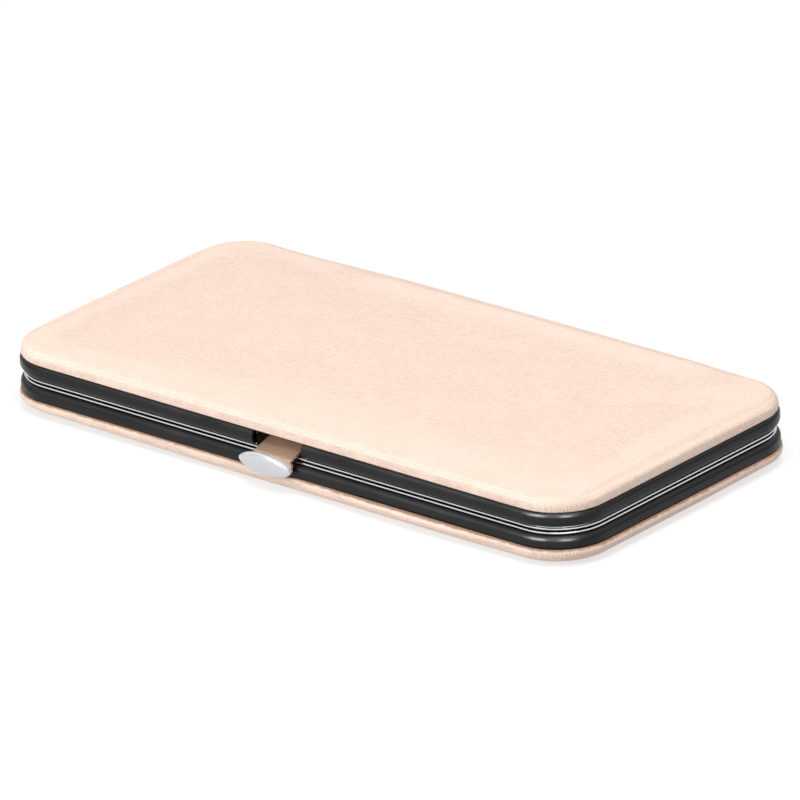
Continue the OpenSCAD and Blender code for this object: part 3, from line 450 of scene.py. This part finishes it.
# %% Lining cloth
FLUFF = 0.5               # mm across a tuft
CLOUD = 18                # mm across a brushed patch
lining_flock, tree, shader, where = new_material("flocked_lining_cloth", Roughness=0.92, Sheen_Weight=0.4,
                                                 Sheen_Roughness=0.4)
fluff = speckle(tree, where, FLUFF, 4)
tone = spread(tree, mix(tree, 0.5, fluff, speckle(tree, where, CLOUD, 3)), 0.35, 0.65)
feed(shader, Base_Color=blend(tree, tone, "#d9c0b2", "#e8d5c8"), Normal=relief(tree, fluff, 0.08, 0.5))
print(lining_flock.name, "with tufts of", FLUFF, "mm")

# %% [markdown]
# The hidden layers still get their real finish, since the case can be taken apart: grey board of
# pressed waste paper, cut foam with open cells, and tool handles of moulded ABS, whose gloss varies
# a little with the flow of the plastic into the mould.

# %% Board, foam and plastic
greyboard, tree, shader, where = new_material("pressed_greyboard", Roughness=0.9)
feed(shader, Base_Color=blend(tree, speckle(tree, where, 0.6, 5), "#7d776e", "#b0aaa0"))
cover_foam, tree, shader, where = new_material("cut_polyurethane_foam", Roughness=0.95)
cells = add(tree, "ShaderNodeTexVoronoi", {"Vector": where, "Scale": per_mm(0.5)}).outputs["Distance"]
feed(shader, Base_Color=blend(tree, cells, "#d8cfb8", "#f3eddc"))
handle_plastic, tree, shader, where = new_material("moulded_abs_plastic", Base_Color="#efc9b8",
                                                   Roughness=0.3, IOR=1.53)
feed(shader, Roughness=spread(tree, speckle(tree, where, 6, 3), 0.3, 0.7, 0.24, 0.36))
print("hidden finishes", greyboard.name, cover_foam.name, handle_plastic.name)

# %% [markdown]
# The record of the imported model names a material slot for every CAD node. A table from slots to
# finishes dresses them all; two pieces of the latch get a finish of their own.

# %% Dress the CAD pieces
FINISH = {
    "leatherette": cover_leatherette, "cover_foam": cover_foam, "greyboard": greyboard,
    "black_lacquer": black_lacquer, "bright_nickel": bright_nickel, "lining_cloth": lining_flock,
    "strap_leatherette": strap_leatherette, "tool_steel": ground_steel, "polished_steel": polished_steel,
    "file_steel": file_steel, "handle_plastic": handle_plastic, "spring_steel": spring_steel,
}
for part in frame["record"]["subparts"]:
    node = cad[part["node"]]
    node.data.materials.clear()
    node.data.materials.append(FINISH[part["material_slot"]])
for name, finish in {"thumb_plate": satin_chrome, "latch_tongue": painted_reflection_nickel}.items():
    cad[name].data.materials.clear()
    cad[name].data.materials.append(finish)
print("finishes", len(FINISH) + 2)

# %% [markdown]
# A cover is a board and a foam sheet with leatherette pulled over both. Its outline is a rectangle
# with round corners, drawn in step by step towards the middle: each step is one closed ring of
# points, and faces join each ring to the next. Such a loft keeps its points in rows along the edge,
# where a remeshed or subdivided box would blur the crease.

# %% Rings of a rounded rectangle
CORNER_STEPS = 24         # points on each corner
LONG_STEPS = 90           # and on each long side
SHORT_STEPS = 44          # and on each short one


def ring(inset, least=0.4):
    """Points of the case's outline, drawn in by inset mm, with the outward direction at each."""
    r = max(CORNER - inset, least)
    long, deep = HALF_LENGTH - inset - r, HALF_WIDTH - inset - r
    points, outward = [], []
    runs = [(long, -deep, 0, SHORT_STEPS), (long, deep, 90, LONG_STEPS),
            (-long, deep, 180, SHORT_STEPS), (-long, -deep, 270, LONG_STEPS)]
    for i, (x, y, start, steps) in enumerate(runs):
        for k in range(CORNER_STEPS):
            a = math.radians(start - 90 + 90 * k / CORNER_STEPS)
            points.append((x + r * math.cos(a), y + r * math.sin(a)))
            outward.append((math.cos(a), math.sin(a)))
        after = runs[(i + 1) % 4]
        a = math.radians(start)
        n = (math.cos(a), math.sin(a))
        for k in range(steps):
            t = k / steps
            points.append((x + r * n[0] + t * (after[0] - x), y + r * n[1] + t * (after[1] - y)))
            outward.append(n)
    return np.array(points), np.array(outward)


def loft(name, rings, material):
    """A closed form from rings of equally many points, with a face at each end."""
    count = len(rings[0])
    points = np.concatenate(rings)
    faces = [list(range(count))[::-1]]
    for k in range(len(rings) - 1):
        a, b = k * count, (k + 1) * count
        faces += [(a + i, a + (i + 1) % count, b + (i + 1) % count, b + i) for i in range(count)]
    faces.append([(len(rings) - 1) * count + i for i in range(count)])
    mesh = bpy.data.meshes.new(name)
    mesh.from_pydata([tuple(p * MM) for p in points], [], faces)
    mesh.materials.append(material)
    mesh.polygons.foreach_set("use_smooth", [True] * len(mesh.polygons))
    return placed(name, mesh)


print("a ring has", len(ring(0)[0]), "points")

# %% [markdown]
# A profile is the line along which the rings are drawn in. It starts hidden, under the board, comes
# out along the frame's shoulder, turns up the side, rolls over the edge and runs to the middle. The
# real edge isn't the same all round: at the corners it is round and full, and between them a crease
# folds it tighter. So there are two profiles with equally many points, to be mixed place by place.

# %% Profiles of the padded edge
SHOULDER = 1.5            # mm, radius of the frames' shoulders beside the covers
EDGE = 2.4                # mm, radius of the padded edge at the corners
CROWN = 0.35              # mm, rise from the edge to the middle
DRAWN = 0.25              # mm of that crown that are drawn; the pressed foam makes the rest
EDGE_POINTS = 30          # points of a profile from the frame to the top
TOP_POINTS = 40           # points from there to the middle
thickness = COVER_TOP - COVER_BOTTOM


def along_line(corners, count=None, step=None):
    """count points evenly along a line of corners, or as many as stand about step apart."""
    line = np.array(corners, float)
    lengths = np.concatenate([[0], np.cumsum(np.linalg.norm(np.diff(line, axis=0), axis=1))])
    marks = np.linspace(0, lengths[-1], count or int(lengths[-1] / step) + 1)
    return np.stack([np.interp(marks, lengths, line[:, k]) for k in (0, 1)], axis=1)


def eased(points, passes):
    """The same points, drawn towards their neighbours; the ends stay."""
    for _ in range(passes):
        points[1:-1] = (points[:-2] + 2 * points[1:-1] + points[2:]) / 4
    return points


def dip(inset):
    """How far the frame's shoulder lies below its top, this far in from its face."""
    return SHOULDER - math.sqrt(SHOULDER ** 2 - (SHOULDER - min(inset, SHOULDER)) ** 2)


def tuck(side, lap):
    """The hidden part of a profile: under the board, lap mm down the shoulder, and out to the side."""
    first = SHOULDER - math.sqrt(SHOULDER ** 2 - (SHOULDER - lap - 0.03) ** 2)
    points = [(9, -0.01), (4, -0.01)]
    for k in range(6):
        d = SHOULDER + (first - SHOULDER) * k / 5
        points.append((d, 0.02 - dip(d)))
    r = first - side
    points += [(first - r * math.sin(a), r * (1 - math.cos(a)) - lap)
               for a in (math.radians(90 * k / 8) for k in range(1, 9))]
    return points


def cover_profiles(side, lap):
    """Two profiles of equally many (inset, height) points: a round edge, and one with a crease."""
    shoulder = thickness - CROWN - EDGE
    inner = tuck(side, lap)
    start = inner[-1]
    arc = [start, (side, shoulder)]
    arc += [(side + EDGE * (1 - math.cos(a)), shoulder + EDGE * math.sin(a))
            for a in (math.radians(90 * k / 12) for k in range(1, 13))]
    creased = [start, (side + 0.03, 1.5), (side + 0.07, 2.15), (side + 0.2, 2.48),
               (side + 0.55, 2.66), (side + 1.7, 2.9), (side + 4.4, thickness - CROWN)]
    shapes = []
    for edge in (along_line(arc, EDGE_POINTS), eased(along_line(creased, EDGE_POINTS), 1)):
        start = edge[-1][0]
        stop = HALF_WIDTH - 0.6
        top = []
        for k in range(1, TOP_POINTS + 1):
            d = start + (stop - start) * (k / TOP_POINTS) ** 1.15
            rise = 1 - (1 - min((d - start) / (CORNER * 1.1), 1)) ** 2
            top.append((d, thickness - CROWN + DRAWN * rise))
        shapes.append(np.array(inner + [tuple(p) for p in edge[1:]] + top))
    return shapes


print("profile points", [len(shape) for shape in cover_profiles(COVER_INSET, TOP_LAP)])

# %% [markdown]
# Handwork leaves its marks: the top cover stands up along the back, over the hinges, the lower one
# bellies out at the front and is pressed thinner towards its ends, and at the corners the leatherette
# is gathered into small folds where it is turned in. Each mark is a small function of the place on
# the case, in mm, made of ramps that start somewhere and reach their full size a while later.

# %% Marks of the handwork
CREASED_TO = 6            # mm before the end of each side at which the crease has gone
BACK_SWELL = 0.7          # mm that the top stands up at the back
BELLY = 0.25              # mm that the lower cover's side swells out all round
FRONT_BELLY = 0.95        # mm more on the right of the front
END_BELLY = 0.35          # mm more at the right end
LEFT_THINNER = 1.5        # mm that the lower cover is pressed thinner at its left end
RIGHT_THINNER = 0.55      # mm at its right end
REAR_CORNER = 0.9         # mm more at that end's rear corner
BACK_THINNER = 0.35       # mm more along the back
GATHER = 0.07             # mm, depth of the corners' folds
GATHER_TOP = 1.9          # mm above the frame at which the folds have run out


def ramp(value, start, length):
    """0 up to start, then rising to 1 over that length."""
    return min(1, max(0, (value - start) / length))


def crease_share(x, y):
    """How creased the edge is at a place: most in the middle of each side, not at the corners."""
    end = run = 0
    if abs(x) > HALF_LENGTH - 1:
        end = max(0, 1 - (abs(y) / (HALF_WIDTH - CREASED_TO)) ** 4)
    if abs(y) > HALF_WIDTH - 1:
        run = max(0, 1 - (abs(x) / (HALF_LENGTH - CREASED_TO)) ** 4)
    return end + 0.8 * run


def back_swell(x, y):
    """How much the top cover stands up along its back edge, over the hinges."""
    return BACK_SWELL * ramp(x, -62, 30) * ramp(-x, -84, 26) * math.exp(-((y - 41) / 9) ** 2)


def gathers(x, y, height):
    """Depth of the small folds where the leatherette is turned in at a corner."""
    cx, cy = abs(x) - (HALF_LENGTH - CORNER), abs(y) - (HALF_WIDTH - CORNER)
    if cx < 0 or cy < 0:
        return 0
    angle = math.atan2(cy, cx)
    share = math.sin(2 * angle) ** 0.7
    low = max(0, 1 - height / GATHER_TOP)
    return GATHER * share * low * math.sin(angle * 34 + 2.2 * math.sin(angle * 9 + x))


def belly(x, y):
    """How far the lower cover's side swells out past its frame: not beside the thumb plate."""
    right = BELLY + END_BELLY * ramp(x, 80, 9) * ramp(-y, -30, 20)
    beside_plate = ramp(abs(x + 2), 12, 14)
    return right + FRONT_BELLY * beside_plate * math.exp(-((x - 42) / 30) ** 2) * ramp(-y, 30, 14)


def thinner(x, y):
    """How much thinner the lower cover is at a place: it stands on its middle, not on its corners."""
    left = LEFT_THINNER * ramp(-x, 10, 78) ** 1.3
    right = ramp(x, 58, 26) * (RIGHT_THINNER + REAR_CORNER * ramp(y, 5, 30))
    return left + right + BACK_THINNER * ramp(y, -20, 50)


print("the lower cover's belly at the front is", round(belly(44, -HALF_WIDTH), 2), "mm")

# %% [markdown]
# Now the two profiles are mixed and drawn round the case, with those marks and with a little noise
# for the swell of the foam. The noise is the same on every run, because it depends on the place alone.

# %% Rings of both covers
LOWER_CREASED = 0.2       # share of the crease that the lower cover has
SWELL = 0.04              # mm, slow waves of the foam
RIPPLE = 0.018            # mm, short ones
UNEVEN = 0.03             # mm, unevenness of the side


def cover(flip, seed, side, lap):
    """Rings of one padded cover: flip -1 hangs it under the base, 1 lays it on the lid."""
    rings = []
    shares = [crease_share(*p) * (1 if flip > 0 else LOWER_CREASED) for p in ring(0)[0]]
    for (d0, h0), (d1, h1) in zip(*cover_profiles(side, lap)):
        flat0, outward = ring(d0)
        flat1, _ = ring(d1)
        points = np.zeros((len(flat0), 3))
        for i, (p0, p1, (nx, ny), w) in enumerate(zip(flat0, flat1, outward, shares)):
            x, y = p0 + (p1 - p0) * w
            height = h0 + (h1 - h0) * w
            soft = min(1, max(0, height / thickness)) ** 2
            swell = noise.noise(Vector((x / 34, y / 30, seed))) * SWELL * soft
            ripple = noise.noise(Vector((x / 7, y / 7, seed + 5))) * RIPPLE * soft
            push = gathers(x, y, height) + noise.noise(Vector((x / 6, y / 6, seed + 9))) * UNEVEN
            if d0 > EDGE + side or height < 0:
                push = 0
            if flip > 0:
                height += back_swell(x, y) * ramp(height, 1, 1.5)
            if flip < 0:
                share = ramp(height, -lap, 0.85 * thickness)
                push += belly(x, y) * math.sin(math.pi * share ** 0.6) * max(0, 1 - max(0, d0 - side) / EDGE)
                edge = max(0, 1 - max(0, d0 - side) / 16)
                height -= thinner(x, y) * soft * edge
            points[i] = (x + nx * push, y + ny * push, height + min(swell + ripple, 0))
        points[:, 2] = COVER_BOTTOM + points[:, 2] if flip > 0 else cover_floor - points[:, 2]
        rings.append(points if flip > 0 else points[::-1])
    return rings


top_rings = cover(1, 3.0, COVER_INSET, TOP_LAP)
bottom_rings = cover(-1, 17.0, -0.1, BOTTOM_LAP)
print("cover rings", len(top_rings), "of", len(top_rings[0]), "points")

# %% [markdown]
# The foam under the leatherette pushes it out, most where nothing holds it. A coarse copy of each
# cover is blown up as cloth for twenty frames, held where it is glued to the frame and where it
# stands on the table. The fine cover then follows its nearest points on the copy. How far a point
# may go is capped, because real leatherette on a board hardly stretches, and the moves of near
# points are evened out first, or the crowded points over a corner would fold over each other.

# %% Padding, as a cloth simulation
CAP = 0.15                # mm that a point may move at most
EVEN = 4                  # mm over which the moves are evened out
FRAMES = 20               # steps of the simulation
LENGTHWAYS = 4            # the coarse copy has every fourth point of every second ring
CROSSWAYS = 2


def blown(rings, held):
    """A search tree of a coarse copy's points, and how far the pressed foam moves each, in mm."""
    copy = loft("cloth_copy", [r[::LENGTHWAYS] for r in rings[::CROSSWAYS]], cover_leatherette)
    start = [v.co / MM for v in copy.data.vertices]
    glued = copy.vertex_groups.new(name="glued")
    glued.add([i for i, p in enumerate(start) if held(p)], 1.0, "REPLACE")
    cloth = copy.modifiers.new("cloth", "CLOTH")
    cloth.settings.vertex_group_mass = glued.name
    cloth.settings.quality = 4
    cloth.settings.mass = 0.02
    cloth.settings.tension_stiffness = cloth.settings.compression_stiffness = 60
    cloth.settings.use_pressure = True
    cloth.settings.uniform_pressure_force = 4
    cloth.settings.effector_weights.gravity = 0
    cloth.point_cache.frame_end = FRAMES
    for step in range(1, FRAMES + 1):
        bpy.context.scene.frame_set(step)
    ready = copy.evaluated_get(bpy.context.evaluated_depsgraph_get())
    moves = [v.co / MM - p for v, p in zip(ready.data.vertices, start)]
    bpy.data.objects.remove(copy)
    bpy.context.scene.frame_set(1)
    near = KDTree(len(start))
    for i, p in enumerate(start):
        near.insert(p, i)
    near.balance()
    evened = []
    for p in start:
        around = [moves[k] for _, k, _ in near.find_range(p, EVEN)]
        evened.append(sum(around, Vector()) / len(around))
    return near, [m * CAP / (m.length + CAP) for m in evened]


def padded_out(rings, held):
    near, moves = blown(rings, held)
    for points in rings:
        for i, p in enumerate(points):
            found = [(1 / (d + 0.05), moves[k]) for _, k, d in near.find_n(p, 4)]
            whole = sum(w for w, _ in found)
            points[i] = Vector(p) + sum((m * (w / whole) for w, m in found), Vector())
    print("cloth moved points by up to", round(max(m.length for m in moves), 2), "mm")
    return rings


GLUED = 0.5               # mm beside the frame in which a cover is held
STANDS = 0.3              # mm above the table up to which the lower one is
top_rings = padded_out(top_rings, lambda p: p.z < COVER_BOTTOM + GLUED)
bottom_rings = padded_out(bottom_rings, lambda p: p.z > cover_floor - GLUED or p.z < STANDS)
top_cover = loft("top_cover", top_rings, cover_leatherette)
bottom_cover = loft("bottom_cover", bottom_rings, cover_leatherette)
for piece, body, skin, foam in ((top_cover, "lid", "top_cover_skin", "top_cover_foam"),
                                (bottom_cover, "base", "bottom_cover_skin", "bottom_cover_foam")):
    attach(piece, body)
    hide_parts(skin, foam)
print("cover faces", len(top_cover.data.polygons))

# %% [markdown]
# Each half is lined with a thin flocked cloth that is glued over its card. It lies flat, yet a
# glued cloth is never a perfect plane: it keeps faint waves, and its edge is soft where it was cut.

# %% Linings
LINING_INSET = HALF_LENGTH - size_of("base_lining")[1].x
LINING_EDGE = 0.22        # mm, roundness of the cut edge


def lining(name, low, high, seed, shown_side):
    """A cloth between two heights, whose shown side (1 up, -1 down) carries the waves."""
    rings = []
    steps = [(9, low), (3, low), (LINING_EDGE, low)]
    for k in range(1, 7):
        a = math.radians(180 * k / 6 - 90)
        steps.append((LINING_EDGE * (1 - math.cos(a)), (low + high) / 2 + (high - low) / 2 * math.sin(a)))
    steps += [(LINING_EDGE + (HALF_WIDTH - LINING_INSET - 1) * (k / 26) ** 1.1, high) for k in range(1, 27)]
    for inset, height in steps:
        flat, outward = ring(LINING_INSET + inset)
        points = np.zeros((len(flat), 3))
        for i, ((x, y), (nx, ny)) in enumerate(zip(flat, outward)):
            wave = noise.noise(Vector((x / 16, y / 12, seed)))
            wave += 0.4 * noise.noise(Vector((x / 4, y / 4, seed)))
            fray = 0.05 * noise.noise(Vector((x / 1.3, y / 1.3, seed + 3))) if inset < 0.5 else 0
            sunk = 0.035 * (wave - 1.2) if height == high else 0
            points[i] = (x + nx * fray, y + ny * fray, height + sunk)
        if shown_side < 0:
            points[:, 2] = low + high - points[:, 2]
            points = points[::-1]
        rings.append(points)
    return loft(name, rings, lining_flock)


for name, node, body, card, side in (("base_lining_cloth", "base_lining", "base", "base_lining_card", 1),
                                     ("lid_lining_cloth", "lid_lining", "lid", "lid_lining_card", -1)):
    low, high = size_of(node)
    cloth = lining(name, low.z, high.z, 4.0 + 7 * side, side)
    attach(cloth, body)
    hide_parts(node)

# %% [markdown]
# The tools are held by a strap: a band of leatherette folded round a tape, stitched along both
# edges and riveted down between the tools. Its path is read from the CAD strap, which stands in
# arches over the tools; the real band is softer, so here every bend is rounded. The rivets tell where
# one arch ends and the next begins.

# %% Path of the strap
strap_low, strap_high = size_of("tool_strap")
STRAP_HALF = 0.3          # mm, half the thickness of the band
STRAP_BEND = 1.1          # mm, bend of the band's middle over a tool
STRAP_FOOT = 0.55         # mm, bend where it leaves the lining
BED = strap_low.z
middle_y = (strap_low.y + strap_high.y) / 2


def lumps(name, above, apart):
    """Runs of a node's points higher than above, split where they are apart mm from each other in x."""
    xs = sorted({round(v.co.x / MM, 2) for v in cad[name].data.vertices if v.co.z / MM > above})
    runs = [[xs[0], xs[0]]]
    for x in xs[1:]:
        if x - runs[-1][1] > apart:
            runs.append([x, x])
        runs[-1][1] = x
    return runs


rivets = [(low + high) / 2 for low, high in lumps("strap_rivets", BED + 0.7, 1.5)]
arches = []
for left, right in zip([strap_low.x] + rivets, rivets):
    wall = [v.co / MM for v in cad["tool_strap"].data.vertices if left < v.co.x / MM < right]
    wall = [v for v in wall if v.z > BED + 1.5]
    arches.append((min(v.x for v in wall), max(v.x for v in wall), max(v.z for v in wall)))
print("strap arches in mm", [[round(v, 1) for v in arch] for arch in arches])


def bend(cx, cz, radius, start, stop, steps=7):
    """Points on an arc between two angles in degrees."""
    angles = [math.radians(start + (stop - start) * k / steps) for k in range(steps + 1)]
    return [(cx + radius * math.cos(a), cz + radius * math.sin(a)) for a in angles]


def strap_path():
    """(x, z) along the middle of the band, from its free end on the left to its last rivet."""
    flat_z = BED + STRAP_HALF
    path = [(strap_low.x, flat_z)]
    for left, right, top in arches:
        l, r, z = left + STRAP_HALF, right - STRAP_HALF, top - STRAP_HALF
        c, f = STRAP_BEND, STRAP_FOOT
        path += bend(l - f, flat_z + f, f, -90, 0)
        path += bend(l + c, z - c, c, 180, 90)
        sag = 0.05 * (r - l) / 10
        path += [(l + c + (r - l - 2 * c) * k / 8, z - sag * math.sin(math.pi * k / 8)) for k in range(1, 8)]
        path += bend(r - c, z - c, c, 90, 0)
        path += bend(r + f, flat_z + f, f, 180, 270)
    return np.array(path + [(strap_high.x, flat_z)])


print("path of", len(strap_path()), "points")

# %% [markdown]
# The band itself is a sweep: one section, with rolled edges and a shallow groove under each seam, is
# carried along the path and turned with it. Its inside stays where the CAD strap's is, clear of the
# tools, and only its outside is a little uneven.

# %% Strap
SEAM = 3.1                # mm from the band's middle to each line of stitches
GROOVE = 0.07             # mm that the seam's thread pulls the leatherette in
STRAP_STEP = 0.3          # mm between two sections
band_half = (strap_high.y - strap_low.y) / 2


def band_section():
    """(across, out) round the band: rolled edges, a shallow groove under each seam."""
    section = []
    for k in range(25):
        across = -band_half + STRAP_HALF + (2 * band_half - 2 * STRAP_HALF) * k / 24
        groove = GROOVE * math.exp(-((abs(across) - SEAM) / 0.3) ** 2)
        section.append((across, STRAP_HALF - groove))
    edge = [(band_half - STRAP_HALF + STRAP_HALF * math.sin(a), STRAP_HALF * math.cos(a))
            for a in (math.radians(180 * k / 6) for k in range(1, 6))]
    under = [(band_half - STRAP_HALF, -STRAP_HALF), (-band_half + STRAP_HALF, -STRAP_HALF)]
    return section + edge + under + [(-x, z) for x, z in reversed(edge)]


path = along_line(strap_path(), step=STRAP_STEP)
tangent = np.gradient(path, axis=0)
tangent /= np.linalg.norm(tangent, axis=1)[:, None]
outside = np.stack([-tangent[:, 1], tangent[:, 0]], axis=1)
rings = []
for (x, z), (ox, oz) in zip(path, outside):
    pull = 0.03 * noise.noise(Vector((x / 3, z / 3, 2.0)))
    section = [(across, out + pull * (out > 0)) for across, out in band_section()]
    rings.append(np.array([(x + ox * out, middle_y + across, z + oz * out) for across, out in section])[::-1])
strap = loft("tool_strap_band", rings, strap_leatherette)
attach(strap, "base")
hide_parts("tool_strap")
print("band faces", len(strap.data.polygons), "path", round(len(path) * STRAP_STEP), "mm")

# %% [markdown]
# Stitches, knurls and file teeth repeat by the hundred, so they are grown with Geometry Nodes: a
# line is cut into equal steps, one small shape is set on every step, turned along the line, and the
# result is made real. The helper below builds that network once, with its sizes as inputs, and
# bakes it into a plain mesh, so that nothing is left to compute when the case is moved.

# %% Shapes along lines
def repeater():
    """Geometry Nodes: one rounded bar on every step of each line of the mesh it is given."""
    group = bpy.data.node_groups.new("bars_along_lines", "GeometryNodeTree")
    face = group.interface
    face.new_socket("Lines", in_out="INPUT", socket_type="NodeSocketGeometry")
    for name, kind in (("Step", "NodeSocketFloat"), ("Bar Size", "NodeSocketVector"),
                       ("Turn", "NodeSocketFloat"), ("Finish", "NodeSocketMaterial")):
        face.new_socket(name, in_out="INPUT", socket_type=kind)
    face.new_socket("Bars", in_out="OUTPUT", socket_type="NodeSocketGeometry")
    given = add(group, "NodeGroupInput").outputs
    curve = add(group, "GeometryNodeMeshToCurve", {"Mesh": given["Lines"]})
    steps = add(group, "GeometryNodeResampleCurve", {"Curve": curve.outputs[0], "Length": given["Step"]},
                mode="LENGTH")
    up = add(group, "GeometryNodeInputNamedAttribute", {"Name": "out"}, data_type="FLOAT_VECTOR")
    along = add(group, "GeometryNodeInputTangent")
    aim = add(group, "FunctionNodeAlignRotationToVector", {"Vector": along.outputs[0]}, axis="X")
    stand = add(group, "FunctionNodeAlignRotationToVector",
                {"Rotation": aim.outputs[0], "Vector": up.outputs[0]}, axis="Z", pivot_axis="X")
    spin = add(group, "ShaderNodeCombineXYZ", {"Z": given["Turn"]})
    turned = add(group, "FunctionNodeRotateRotation",
                 {"Rotation": stand.outputs[0], "Rotate By": spin.outputs[0]}, rotation_space="LOCAL")
    ball = add(group, "GeometryNodeMeshUVSphere", {"Segments": 8, "Rings": 6, "Radius": 0.5})
    bars = add(group, "GeometryNodeInstanceOnPoints",
               {"Points": steps.outputs[0], "Instance": ball.outputs[0], "Rotation": turned.outputs[0],
                "Scale": given["Bar Size"]})
    real = add(group, "GeometryNodeRealizeInstances", {"Geometry": bars.outputs[0]})
    smooth = add(group, "GeometryNodeSetShadeSmooth", {"Geometry": real.outputs[0]})
    dressed = add(group, "GeometryNodeSetMaterial",
                  {"Geometry": smooth.outputs[0], "Material": given["Finish"]})
    add(group, "NodeGroupOutput", {"Bars": dressed.outputs[0]})
    return group


BARS = repeater()


def bars_along(name, lines, outs, step, size, finish, turn=0):
    """Bars of that size (along, across, high, in mm) on lines of points, each with its out direction."""
    mesh = bpy.data.meshes.new(name + "_lines")
    points = [tuple(Vector(p) * MM) for line in lines for p in line]
    joins, first = [], 0
    for line in lines:
        joins += [(first + i, first + i + 1) for i in range(len(line) - 1)]
        first += len(line)
    mesh.from_pydata(points, joins, [])
    stored = mesh.attributes.new("out", "FLOAT_VECTOR", "POINT")
    stored.data.foreach_set("vector", [v for line in outs for o in line for v in o])
    grower = placed(name + "_lines", mesh)
    modifier = grower.modifiers.new("bars", "NODES")
    modifier.node_group = BARS
    values = {"Step": step * MM, "Bar Size": [v * MM for v in size], "Turn": turn, "Finish": finish}
    for socket in BARS.interface.items_tree:
        if socket.in_out == "INPUT" and socket.name in values:
            modifier[socket.identifier] = values[socket.name]
    ready = grower.evaluated_get(bpy.context.evaluated_depsgraph_get())
    baked = placed(name, bpy.data.meshes.new_from_object(ready))
    bpy.data.objects.remove(grower)
    print(name, len(baked.data.polygons), "faces")
    return baked


# %% [markdown]
# The seams are sewn with waxed polyester thread, a shade lighter than the leatherette. Each stitch
# is one long bead that lies in its groove, and its out direction comes from the band, so that the
# stitches follow it over every tool.

# %% Stitches of the strap
STITCH_STEP = 1.6         # mm from one stitch to the next
STITCH = (1.15, 0.3, 0.2)  # mm long, wide and high
thread, tree, shader, where = new_material("waxed_polyester_thread", Base_Color="#f6e6da", Roughness=0.6,
                                           Sheen_Weight=0.2)
feed(shader, Normal=relief(tree, speckle(tree, where, 0.2, 2), 0.03, 0.4))
lines, outs = [], []
for side in (-1, 1):
    lines.append([(x + ox * STRAP_HALF, middle_y + side * SEAM, z + oz * STRAP_HALF)
                  for (x, z), (ox, oz) in zip(path, outside)])
    outs.append([(ox, 0, oz) for ox, oz in outside])
stitches = bars_along("strap_stitches", lines, outs, STITCH_STEP, STITCH, thread)
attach(stitches, "base")

# %% [markdown]
# A file is cut twice, the second time across the first, which leaves rows of points. Here each cut
# is a row of slanting bars on the blade's face, and both rows become one piece. Real cuts are finer;
# they are drawn as coarse as they need to be to show in a picture.

# %% File teeth
CUT_STEP = 0.5            # mm between two cuts of the file
CUT_TURN = 0.5            # radians by which a cut slants
TIP_PLAIN = 14.5          # mm of the blade's tip that aren't cut
CUT_SIZE = (0.26, 0.12)   # mm wide and high
file_low, file_high = size_of("nail_file_blade")
file_x = (file_low.x + file_high.x) / 2
cut_to = size_of("nail_file_handle")[0].y - 1
cuts = []
for turn in (-CUT_TURN, CUT_TURN):
    line = [(file_x, y, file_high.z) for y in np.linspace(file_low.y + TIP_PLAIN, cut_to, 8)]
    length = (file_high.x - file_low.x - 0.7) / math.cos(turn) - 0.5
    cuts.append(bars_along("file_cuts", [line], [[(0, 0, 1)] * len(line)], CUT_STEP,
                           (CUT_SIZE[0], length, CUT_SIZE[1]), file_steel, turn))
bm = bmesh.new()
for piece in cuts:
    bm.from_mesh(piece.data)
teeth_mesh = cuts[0].data.copy()
bm.to_mesh(teeth_mesh)
bm.free()
for piece in cuts:
    bpy.data.objects.remove(piece)
teeth = placed("nail_file_teeth", teeth_mesh)
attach(teeth, "base")
print("file teeth", len(teeth.data.polygons), "faces")

# %% [markdown]
# The cuticle pusher is a round bar with a knurled grip. A pair of toothed wheels rolls the knurl into
# it; what is left are rows of small grains, each row set off by half a step from its neighbours.

# %% Knurl
GRIP_RADIUS = 1.6         # mm
GRIP_HEIGHT = 6.2         # mm, height of the bar's axis
GRIP = (-18, -6, 5)       # mm from the case's middle: where the grip starts, passes and ends
KNURL_ROWS = 20
pusher_low, pusher_high = size_of("cuticle_pusher")
grip_x = (pusher_low.x + pusher_high.x) / 2
lines, outs = [], []
for k in range(KNURL_ROWS):
    a = math.radians(360 / KNURL_ROWS * k)
    shift = 0.5 * (k % 2)
    out = (math.cos(a), 0, math.sin(a))
    place = (grip_x + GRIP_RADIUS * out[0], GRIP_HEIGHT + GRIP_RADIUS * out[2])
    lines.append([(place[0], y + shift, place[1]) for y in GRIP])
    outs.append([out] * len(GRIP))
knurl = bars_along("pusher_knurl", lines, outs, 1.0, (0.85, 0.3, 0.16), ground_steel)
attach(knurl, "base")

# %% [markdown]
# The clippers' levers have low ribs pressed across them for the thumb. A lever slopes, so a ray cast
# down on it tells how high it is at each rib and which way its face looks.

# %% Lever ribs
RIB_STEP = 1.1            # mm between two ribs
for name in ("clipper_lever", "toe_clipper_lever"):
    low, high = size_of(name)
    x = (low.x + high.x) / 2
    lever = BVHTree.FromObject(cad[name], bpy.context.evaluated_depsgraph_get())
    line, out = [], []
    for y in np.linspace(high.y - 9, high.y - 3.4, 6):
        place, normal, _, _ = lever.ray_cast(Vector((x, y, 40)) * MM, Vector((0, 0, -1)))
        line.append((x, y, place.z / MM))
        out.append(tuple(normal))
    rib = (0.6, (high.x - low.x) * 0.62, 0.3)
    ribs = bars_along(name + "_ribs", [line], [out], RIB_STEP, rib, polished_steel)
    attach(ribs, "base")

# %% [markdown]
# Last, the box round all pieces is measured.

# %% Box round the picture's model
low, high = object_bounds()
